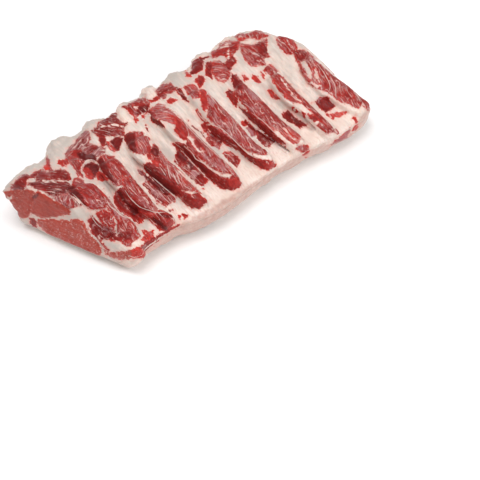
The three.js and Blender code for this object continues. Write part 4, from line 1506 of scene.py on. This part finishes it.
def dress(piece: bpy.types.Object, surface: Surface, points: Array) -> None:
    """Stores the tissue on a mesh for its material to read.

    Args:
        piece: The object.
        surface: The tissue of each point.
        points: The points in millimetres.
    """
    mesh = piece.data
    for name in FIELDS:
        values = mesh.attributes.new(name, "FLOAT", "POINT")
        values.data.foreach_set("value", np.asarray(getattr(surface, name), np.float32))
    along = surface.grain
    side = np.cross(along, (0.0, 0.0, 1.0))
    side /= np.maximum(np.linalg.norm(side, axis=1, keepdims=True), 1e-6)
    over = np.cross(along, side)
    run = np.stack([np.einsum("ij,ij->i", points, axis) for axis in (along, side, over)], axis=1)
    values = mesh.attributes.new("fibre", "FLOAT_VECTOR", "POINT")
    values.data.foreach_set("vector", run.astype(np.float32).ravel())
    mesh.polygons.foreach_set("use_smooth", np.ones(len(mesh.polygons), bool))


# ---- Finishes ----

Socket = bpy.types.NodeSocket
Stops = tuple[tuple[float, str], ...]     # places from 0 to 1 with their sRGB colours


def linear(colour: str) -> tuple[float, float, float, float]:
    """Turns an sRGB hex colour into linear light."""
    parts = [int(colour[place:place + 2], 16) / 255.0 for place in (1, 3, 5)]
    light = [part / 12.92 if part <= 0.04045 else ((part + 0.055) / 1.055) ** 2.4 for part in parts]
    return light[0], light[1], light[2], 1.0


def add_node(tree: bpy.types.NodeTree, kind: str, inputs: dict | None = None,
             **settings: object) -> bpy.types.Node:
    """Adds a node with its settings and links.

    Args:
        tree: The tree that it joins.
        kind: The node's type name.
        inputs: A value, or another node's output, for each input by name or number.
        **settings: The node's own properties.

    Returns:
        The node.
    """
    node = tree.nodes.new(kind)
    for name, value in settings.items():
        setattr(node, name, value)
    for key, value in (inputs or {}).items():
        if isinstance(value, bpy.types.NodeSocket):
            tree.links.new(value, node.inputs[key])
        else:
            node.inputs[key].default_value = value
    return node


class Weave:
    """Writes the arithmetic of one material in short steps."""

    def __init__(self, name: str) -> None:
        """Starts a material with an empty tree.

        Args:
            name: The material's name.
        """
        self.material = bpy.data.materials.new(name)
        self.material.use_nodes = True
        self.tree = self.material.node_tree
        self.tree.nodes.clear()
        place = add_node(self.tree, "ShaderNodeTexCoord").outputs["Object"]
        scaled = {"Vector": place, "Scale": (1 / MM,) * 3}
        self.place = add_node(self.tree, "ShaderNodeMapping", scaled).outputs["Vector"]    # in millimetres

    def finish(self, inputs: dict) -> bpy.types.Material:
        """Ends the tree in one shader with the given inputs, and gives the material."""
        shader = add_node(self.tree, "ShaderNodeBsdfPrincipled", inputs)
        add_node(self.tree, "ShaderNodeOutputMaterial", {"Surface": shader.outputs[0]})
        return self.material

    def share(self, name: str) -> Socket:
        """One of the surface's stored shares."""
        return add_node(self.tree, "ShaderNodeAttribute", attribute_name=name).outputs["Fac"]

    def math(self, operation: str, first: object, second: object = 0.0, third: object = 0.0) -> Socket:
        """One sum of up to three values."""
        inputs = {0: first, 1: second, 2: third}
        return add_node(self.tree, "ShaderNodeMath", inputs, operation=operation).outputs[0]

    def swing(self, noise: object, strength: float, onto: object) -> Socket:
        """Adds a noise, centred on nothing, to a value."""
        return self.math("MULTIPLY_ADD", self.math("SUBTRACT", noise, 0.5), strength, onto)

    def blend(self, share: object, first: object, second: object) -> Socket:
        """Mixes two values."""
        return add_node(self.tree, "ShaderNodeMix", {"Factor": share, 2: first, 3: second}).outputs[0]

    def ramped(self, value: object, low: float, high: float, start: object = 0.0,
               end: object = 1.0) -> Socket:
        """Eases a value from `start` at `low` to `end` at `high`."""
        inputs = {"Value": value, "From Min": low, "From Max": high, "To Min": start, "To Max": end}
        node = add_node(self.tree, "ShaderNodeMapRange", inputs, interpolation_type="SMOOTHSTEP")
        return node.outputs["Result"]

    def mix(self, share: object, first: object, second: object) -> Socket:
        """Mixes two colours."""
        inputs = {"Factor": share, 6: first, 7: second}
        return add_node(self.tree, "ShaderNodeMix", inputs, data_type="RGBA").outputs[2]

    def noise(self, place: object, scale: Triple, detail: float = 2.0,
              roughness: float = 0.55) -> Socket:
        """Noise of a real size.

        Args:
            place: Places in millimetres.
            scale: The noise's size in millimetres along each axis.
            detail: Octaves.
            roughness: How strong the finer octaves are.

        Returns:
            Values of 0 to 1.
        """
        stretch = tuple(1.0 / size for size in scale)
        inputs = {0: place, 1: stretch}
        scaled = add_node(self.tree, "ShaderNodeVectorMath", inputs, operation="MULTIPLY").outputs[0]
        settings = {"Vector": scaled, "Scale": 1.0, "Detail": detail, "Roughness": roughness}
        return add_node(self.tree, "ShaderNodeTexNoise", settings).outputs["Fac"]

    def ramp(self, value: object, stops: Stops) -> Socket:
        """Looks a value up along a row of colours.

        Args:
            value: From 0 to 1.
            stops: Places and sRGB colours.

        Returns:
            The colour.
        """
        node = add_node(self.tree, "ShaderNodeValToRGB", {"Fac": value})
        row = node.color_ramp.elements
        for index, (place, colour) in enumerate(stops):
            stop = row[index] if index < 2 else row.new(place)
            stop.position = place
            stop.color = linear(colour)
        return node.outputs["Color"]


@dataclass(frozen=True)
class FreshBeef:
    """Raw beef with its fat, as the butcher's knife leaves it: lean torn from bone or cut, fat and membrane.

    Lean is dark wine where it has lain shut and scarlet where air has reached it. It is wet, so it has a
    low roughness and a thin coat; the fat is waxy and duller. Threads of fat follow the fibres of the
    muscle, and show as flecks where the muscle is cut across.
    """

    name: str = "raw_beef_lean_and_fat"
    lean: Stops = ((0.0, "#c4372e"), (0.28, "#a42a24"), (0.5, "#8a201c"), (0.74, "#731613"), (1.0, "#5a1211"))
    cut_lean: Stops = ((0.0, "#b8483a"), (0.35, "#a43a2c"), (0.65, "#8f3023"), (1.0, "#6f1f18"))
    fat: Stops = ((0.25, "#dbc4b7"), (0.5, "#e6d3c8"), (0.75, "#eedfd5"))
    thread: str = "#d3aea6"         # the white threads in the lean
    strand: str = "#d8b9ac"         # fibres in the fat
    film: str = "#aa7678"           # membrane over lean
    pale_film_and_shade: str = "#bbb0a8"      # membrane over fat, also laid as painted shade over the beds, the rim and the eye end
    soaked: str = "#e0a79a"         # fat stained by the lean beside it
    bruise: str = "#b0786c"
    fibre_length: float = 15.0      # mm
    fibre_width: float = 1.7        # coarser than a real fibre, so that it shows
    thread_width: float = 0.9
    vein_length: float = 20.0       # of the white threads between bundles of fibres
    vein_spacing: float = 5.5
    edge_size: float = 3.2
    blotch_size: float = 10.0
    fleck_size: float = 2.3

    def make(self) -> bpy.types.Material:
        """Builds the material.

        Returns:
            The material.
        """
        weave = Weave(self.name)
        fibre = add_node(weave.tree, "ShaderNodeAttribute", attribute_name="fibre").outputs["Vector"]
        width, fine = self.fibre_width, self.thread_width
        strands = weave.noise(fibre, (self.fibre_length, width, width), 2.0, 0.6)
        threads = weave.noise(fibre, (self.fibre_length * 0.5, fine, fine), 1.0)
        wobble = weave.noise(weave.place, (self.edge_size,) * 3, 3.0, 0.6)
        blotch = weave.noise(weave.place, (self.blotch_size,) * 3)
        reach = weave.swing(strands, 4.0, weave.swing(wobble, 4.0, weave.share("meat")))
        is_lean = weave.ramped(reach, -0.3, 0.3)
        # The stored tone holds the meat's own darkness and, at the strips' feet and in pockets and slots,
        # painted shade.
        tone = weave.swing(blotch, 0.65, weave.share("tone"))
        tone = weave.swing(threads, 0.6, weave.swing(strands, 0.8, tone))
        tone = weave.math("ADD", tone, weave.ramped(reach, 0.0, 2.5, -0.25, 0.0))
        colour = weave.mix(is_lean, self._fat(weave, fibre, reach), self._lean(weave, fibre, tone))
        fibres = weave.math("MULTIPLY_ADD", threads, 0.45, weave.math("MULTIPLY", strands, 0.9))
        waxy = weave.math("MULTIPLY", weave.noise(weave.place, (3.0,) * 3, 3.0, 0.5), 0.7)
        relief = {"Height": weave.blend(is_lean, waxy, fibres), "Strength": 0.8, "Distance": 0.8 * MM}
        dull = weave.math("MULTIPLY_ADD", wobble, 0.2, 0.38)
        wet = weave.math("MULTIPLY_ADD", blotch, 0.2, 0.24)
        return weave.finish({
            "Base Color": colour, "Roughness": weave.blend(is_lean, dull, wet), "IOR": 1.42,
            "Normal": add_node(weave.tree, "ShaderNodeBump", relief).outputs["Normal"],
            "Subsurface Weight": 0.1, "Subsurface Radius": (1.0, 0.35, 0.2), "Subsurface Scale": 1.2 * MM,
            "Coat Weight": 0.08, "Coat Roughness": 0.08, "Specular IOR Level": 0.22,
        })

    def _lean(self, weave: Weave, fibre: Socket, tone: Socket) -> Socket:
        """Colour of the lean.

        Args:
            weave: The material in the making.
            fibre: Place along and across the fibres, in millimetres.
            tone: From 0, bright, to 1, nearly black.

        Returns:
            The colour.
        """
        cut = weave.share("cut")
        flesh = weave.mix(cut, weave.ramp(tone, self.lean), weave.ramp(tone, self.cut_lean))
        film = weave.swing(weave.noise(fibre, (22.0, 5.0, 5.0), 3.0, 0.65), 2.2, weave.share("film"))
        veiled = weave.mix(weave.ramped(film, 0.4, 1.0, 0.0, 0.65), flesh, linear(self.film))
        clusters = weave.noise(weave.place, (12.0,) * 3, 2.0, 0.6)
        grouped = weave.math("MULTIPLY_ADD", weave.share("marbling"), 0.4, clusters)
        long_veins = self._veins(weave, fibre, grouped, self.vein_length, self.vein_spacing)
        short_veins = self._veins(weave, fibre, grouped, self.vein_length * 0.6, self.vein_spacing * 0.55)
        dots = weave.noise(weave.place, (self.fleck_size,) * 3, 2.0, 0.5)
        flecks = weave.ramped(weave.math("MULTIPLY_ADD", grouped, 0.5, dots), 0.94, 1.12, 0.0, 0.65)
        white = weave.math("MAXIMUM", long_veins, weave.math("MULTIPLY", short_veins, 0.7))
        white = weave.math("MAXIMUM", white, weave.math("MULTIPLY", flecks, 0.45))
        white = weave.math("MULTIPLY", weave.blend(cut, white, flecks), 0.85)
        return weave.mix(white, veiled, linear(self.thread))

    @staticmethod
    def _veins(weave: Weave, fibre: Socket, grouped: Socket, length: float, spacing: float) -> Socket:
        """Thin white lines that run with the fibres, swell, fade and start again.

        Args:
            weave: The material in the making.
            fibre: Place along and across the fibres, in millimetres.
            grouped: How many there are: none at 0.4, many at 1.
            length: Of one stretch of a line, in millimetres.
            spacing: Between one line and the next, in millimetres.

        Returns:
            1 on a line, 0 between lines.
        """
        parts = add_node(weave.tree, "ShaderNodeSeparateXYZ", {0: fibre}).outputs
        across = weave.math("MULTIPLY_ADD", parts["Z"], 0.6, parts["Y"])
        bend = weave.noise(fibre, (length * 1.5, spacing * 1.6, spacing * 1.6), 2.0, 0.5)
        bent = weave.math("MULTIPLY_ADD", bend, spacing * 3.2, across)
        away = weave.math("PINGPONG", bent, spacing / 2)
        swell = weave.math("MULTIPLY_ADD", weave.noise(fibre, (length, spacing, spacing)), 1.2, grouped)
        half_width = weave.ramped(swell, 1.15, 1.6, -0.3, spacing * 0.085)
        return weave.ramped(weave.math("SUBTRACT", away, half_width), -0.2, 0.2, 1.0, 0.0)

    def _fat(self, weave: Weave, fibre: Socket, reach: Socket) -> Socket:
        """Colour of the fat.

        Args:
            weave: The material in the making.
            fibre: Place along and across the fibres, in millimetres.
            reach: Millimetres inside the edge of the lean.

        Returns:
            The colour.
        """
        fat = weave.ramp(weave.noise(weave.place, (18.0,) * 3, 3.0), self.fat)
        streaks = weave.noise(fibre, (26.0, 1.9, 1.9), 2.0, 0.6)
        fat = weave.mix(weave.ramped(streaks, 0.46, 0.72, 0.0, 0.75), fat, linear(self.strand))
        mottle = weave.noise(weave.place, (6.0,) * 3, 3.0, 0.65)
        bruise = weave.math("MULTIPLY", weave.share("stain"), weave.ramped(mottle, -0.2, 0.8))
        fat = weave.mix(bruise, fat, linear(self.bruise))
        # Grey film over the fat: membrane, and painted shade on the beds, the rim and the eye end.
        film = weave.swing(weave.noise(fibre, (26.0, 7.0, 7.0), 3.0, 0.6), 1.9, weave.share("film"))
        fat = weave.mix(weave.ramped(film, 0.0, 1.0, 0.0, 0.85), fat, linear(self.pale_film_and_shade))
        torn = weave.swing(streaks, 5.0, reach)
        soak = weave.math("MULTIPLY", weave.ramped(torn, -4.0, 0.0), weave.ramped(mottle, 0.3, 0.7))
        return weave.mix(weave.math("MULTIPLY", soak, 0.75), fat, linear(self.soaked))


@dataclass(frozen=True)
class LooseFascia:
    """Fascia that has come away from the lean: moist, whitish, a little clearer than fat."""

    name: str = "loose_fascia"
    colours: Stops = ((0.3, "#c6a59c"), (0.7, "#e0ccc2"))

    def make(self) -> bpy.types.Material:
        """Builds the material.

        Returns:
            The material.
        """
        weave = Weave(self.name)
        cloud = weave.noise(weave.place, (7.0,) * 3)
        return weave.finish({
            "Base Color": weave.ramp(cloud, self.colours), "Roughness": 0.35, "Subsurface Weight": 0.1,
            "Subsurface Radius": (1.0, 0.5, 0.35), "Subsurface Scale": 1.0 * MM,
        })


# ---- What Geometry Nodes lays on the lean ----

@dataclass
class FasciaStrands:
    """Thin beads of fascia that lie along traced courses on the lean."""

    view: Viewpoint
    step: float = 0.8               # mm between rings
    sides: int = 6
    waver: float = 0.7              # mm that a strand wanders off its course
    waver_size: float = 5.0
    seed: int = 5

    def build(self, skin: Skin, shift: Array, material: bpy.types.Material) -> bpy.types.Object:
        """Lays every strand.

        Args:
            skin: The lean's finished skin.
            shift: Millimetres from the drawn place to the place in the frame of the part.
            material: Their finish.

        Returns:
            All of them as one object of plain mesh.
        """
        tree = BVHTree.FromPolygons(skin.points.tolist(), skin.faces.tolist())
        points, edges, half_widths = [], [], []
        for strand in STRANDS:
            rays = self.view.rays(rounded(strand.course))
            hits = [tree.ray_cast(Vector(self.view.place), Vector(ray))[0] for ray in rays]
            laid = [hit for hit in hits if hit is not None]
            edges += [(len(points) + i, len(points) + i + 1) for i in range(len(laid) - 1)]
            points += [tuple((np.array(hit) + shift) * MM) for hit in laid]
            share = np.linspace(0.0, 1.0, len(laid))
            half_widths += list(strand.width / 2 * MM * np.clip(4.0 * share * (1.0 - share) + 0.25, 0.0, 1.0))
        courses = bpy.data.meshes.new("strand_courses")
        courses.from_pydata(points, edges, [])
        values = courses.attributes.new("half_width", "FLOAT", "POINT")
        values.data.foreach_set("value", np.array(half_widths, np.float32))
        piece = placed("fascia_strands", courses)
        given = {"Step": self.step * MM, "Sides": self.sides, "Waver": self.waver * MM,
                 "Waver Size": self.waver_size * MM, "Seed": self.seed, "Material": material}
        modifier = piece.modifiers.new("strands", "NODES")
        modifier.node_group = self._tree(given)
        for item in modifier.node_group.interface.items_tree:
            if item.name in given:
                modifier[item.identifier] = given[item.name]
        piece.data = applied(piece)
        piece.data.name = piece.name
        piece.modifiers.remove(modifier)
        bpy.data.meshes.remove(courses)
        return piece

    @staticmethod
    def _tree(inputs: dict[str, object]) -> bpy.types.NodeTree:
        """Builds the tree that turns courses into wavering beads of the stored width.

        Args:
            inputs: The value that each named input will have, for its kind.

        Returns:
            The tree.
        """
        tree = bpy.data.node_groups.new("strands_along_courses", "GeometryNodeTree")
        kinds = {float: "NodeSocketFloat", int: "NodeSocketInt", bpy.types.Material: "NodeSocketMaterial"}
        tree.interface.new_socket("Geometry", in_out="INPUT", socket_type="NodeSocketGeometry")
        for name, value in inputs.items():
            tree.interface.new_socket(name, in_out="INPUT", socket_type=kinds[type(value)])
        tree.interface.new_socket("Geometry", in_out="OUTPUT", socket_type="NodeSocketGeometry")

        def node(kind: str, inputs: dict | None = None, **settings: object) -> Socket:
            """Adds a node and gives its first output."""
            return add_node(tree, kind, inputs, **settings).outputs[0]

        given = add_node(tree, "NodeGroupInput").outputs
        curve = node("GeometryNodeMeshToCurve", {0: given["Geometry"]})
        even = node("GeometryNodeResampleCurve", {"Curve": curve, "Length": given["Step"]}, mode="LENGTH")
        scale = node("ShaderNodeMath", {0: 1.0, 1: given["Waver Size"]}, operation="DIVIDE")
        drift = {"Vector": node("GeometryNodeInputPosition"), "Scale": scale, "W": given["Seed"]}
        noise = add_node(tree, "ShaderNodeTexNoise", drift, noise_dimensions="4D").outputs["Color"]
        level = node("ShaderNodeVectorMath", {0: noise, 1: (0.5, 0.5, 0.5)}, operation="SUBTRACT")
        away = node("ShaderNodeVectorMath", {0: level, "Scale": given["Waver"]}, operation="SCALE")
        moved = node("GeometryNodeSetPosition", {0: even, "Offset": away})
        ring = node("GeometryNodeCurvePrimitiveCircle", {"Resolution": given["Sides"], "Radius": 1.0})
        width = node("GeometryNodeInputNamedAttribute", {"Name": "half_width"}, data_type="FLOAT")
        parts = {"Curve": moved, "Profile Curve": ring, "Scale": width, "Fill Caps": True}
        smooth = node("GeometryNodeSetShadeSmooth", {0: node("GeometryNodeCurveToMesh", parts)})
        real = node("GeometryNodeRealizeInstances", {0: smooth})
        painted = node("GeometryNodeSetMaterial", {0: real, "Material": given["Material"]})
        add_node(tree, "NodeGroupOutput", {0: painted})
        return tree


# ---- The studio ----

@dataclass(frozen=True)
class Studio:
    """A white table under soft light."""

    floor_colour: str = "#ffffff"
    floor_half: float = 6.0         # metres
    sky: float = 0.5
    key_power: float = 56.0
    key_size: float = 1.8
    key_place: Triple = (-0.7, -0.1, 2.9)
    fill_power: float = 17.0
    fill_size: float = 1.2
    fill_place: Triple = (0.9, -1.7, 1.5)

    def build(self) -> None:
        """Lays the floor and hangs the lights."""
        mesh = bpy.data.meshes.new("table_top")
        half = self.floor_half
        corners = [(-half, -half, 0), (half, -half, 0), (half, half, 0), (-half, half, 0)]
        mesh.from_pydata(corners, [], [(0, 1, 2, 3)])
        floor = placed("table_top", mesh)
        paint = bpy.data.materials.new("matt_white_laminate")
        paint.use_nodes = True
        shader = paint.node_tree.nodes["Principled BSDF"]
        shader.inputs["Base Color"].default_value = linear(self.floor_colour)
        shader.inputs["Roughness"].default_value = 0.9
        shader.inputs["Specular IOR Level"].default_value = 0.2
        mesh.materials.append(paint)
        world = bpy.data.worlds.new("white_room")
        world.use_nodes = True
        world.node_tree.nodes["Background"].inputs["Color"].default_value = (1.0, 1.0, 1.0, 1.0)
        world.node_tree.nodes["Background"].inputs["Strength"].default_value = self.sky
        bpy.context.scene.world = world
        self._lamp("key_light", self.key_power, self.key_size, self.key_place)
        self._lamp("fill_light", self.fill_power, self.fill_size, self.fill_place)
        bpy.context.scene.view_settings.view_transform = "Standard"

    @staticmethod
    def _lamp(name: str, power: float, size: float, place: Triple) -> None:
        """Hangs one square light that faces the roast.

        Args:
            name: The light's name.
            power: Watts.
            size: Metres along each side.
            place: Where it hangs, in metres.
        """
        lamp = bpy.data.lights.new(name, "AREA")
        lamp.energy, lamp.size = power, size
        aim(placed(name, lamp), Vector(place), Vector(place))


# ---- The whole roast ----

@dataclass
class Roast:
    """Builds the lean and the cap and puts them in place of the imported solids."""

    form: RoastForm = field(default_factory=RoastForm)
    grid: Grid = field(default_factory=Grid)
    lean_kept: float = 0.69         # share of the lean's faces that stay, for under 200,000 triangles
    cap_kept: float = 0.6

    def build(self) -> None:
        """Makes every piece of the roast."""
        self.shift = -self.form.centre()
        grower = Grower(self.form, self.grid)
        grower.carve()
        self.anatomy = Anatomy(self.form, grower)
        material = FreshBeef().make()
        lean = self._piece("beef_lean", "lean", "lean", grower.lean(), self.lean_kept, material)
        self._piece("beef_fat_cap", "fat_cap", "fat", grower.cap(), self.cap_kept, material)
        strands = FasciaStrands(self.form.view).build(lean, self.shift, LooseFascia().make())
        self._settle(strands, "fat")

    @staticmethod
    def _settle(piece: bpy.types.Object, slot: str) -> None:
        """Hands a piece to its body, and reports it."""
        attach(piece, BODY)
        piece.data.calc_loop_triangles()
        log.info("%s: %d triangles", piece.name, len(piece.data.loop_triangles))

    def _piece(self, name: str, node: str, slot: str, skin: Skin, ratio: float,
               material: bpy.types.Material) -> Skin:
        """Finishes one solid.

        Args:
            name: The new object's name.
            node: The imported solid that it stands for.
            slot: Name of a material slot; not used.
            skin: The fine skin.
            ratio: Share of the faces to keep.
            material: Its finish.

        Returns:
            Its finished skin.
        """
        self.anatomy.raise_relief(skin)
        seen = self.anatomy.seen(skin, skin.normals())
        skin = thinned(skin, 1.0 - seen, ratio)
        surface, _ = self.anatomy.whole(skin)
        piece = to_mesh(name, skin, self.shift)
        dress(piece, surface, skin.points)
        piece.data.materials.append(material)
        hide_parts(node)
        self._settle(piece, slot)
        return skin


def main() -> None:
    """Builds the roast and its surroundings and reports each piece."""
    logging.basicConfig(level=logging.INFO, format="%(message)s")
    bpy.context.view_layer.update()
    roast = Roast()
    roast.build()
    roast.form.view.add_camera(roast.shift)
    Studio().build()


if __name__ == "__main__":
    main()
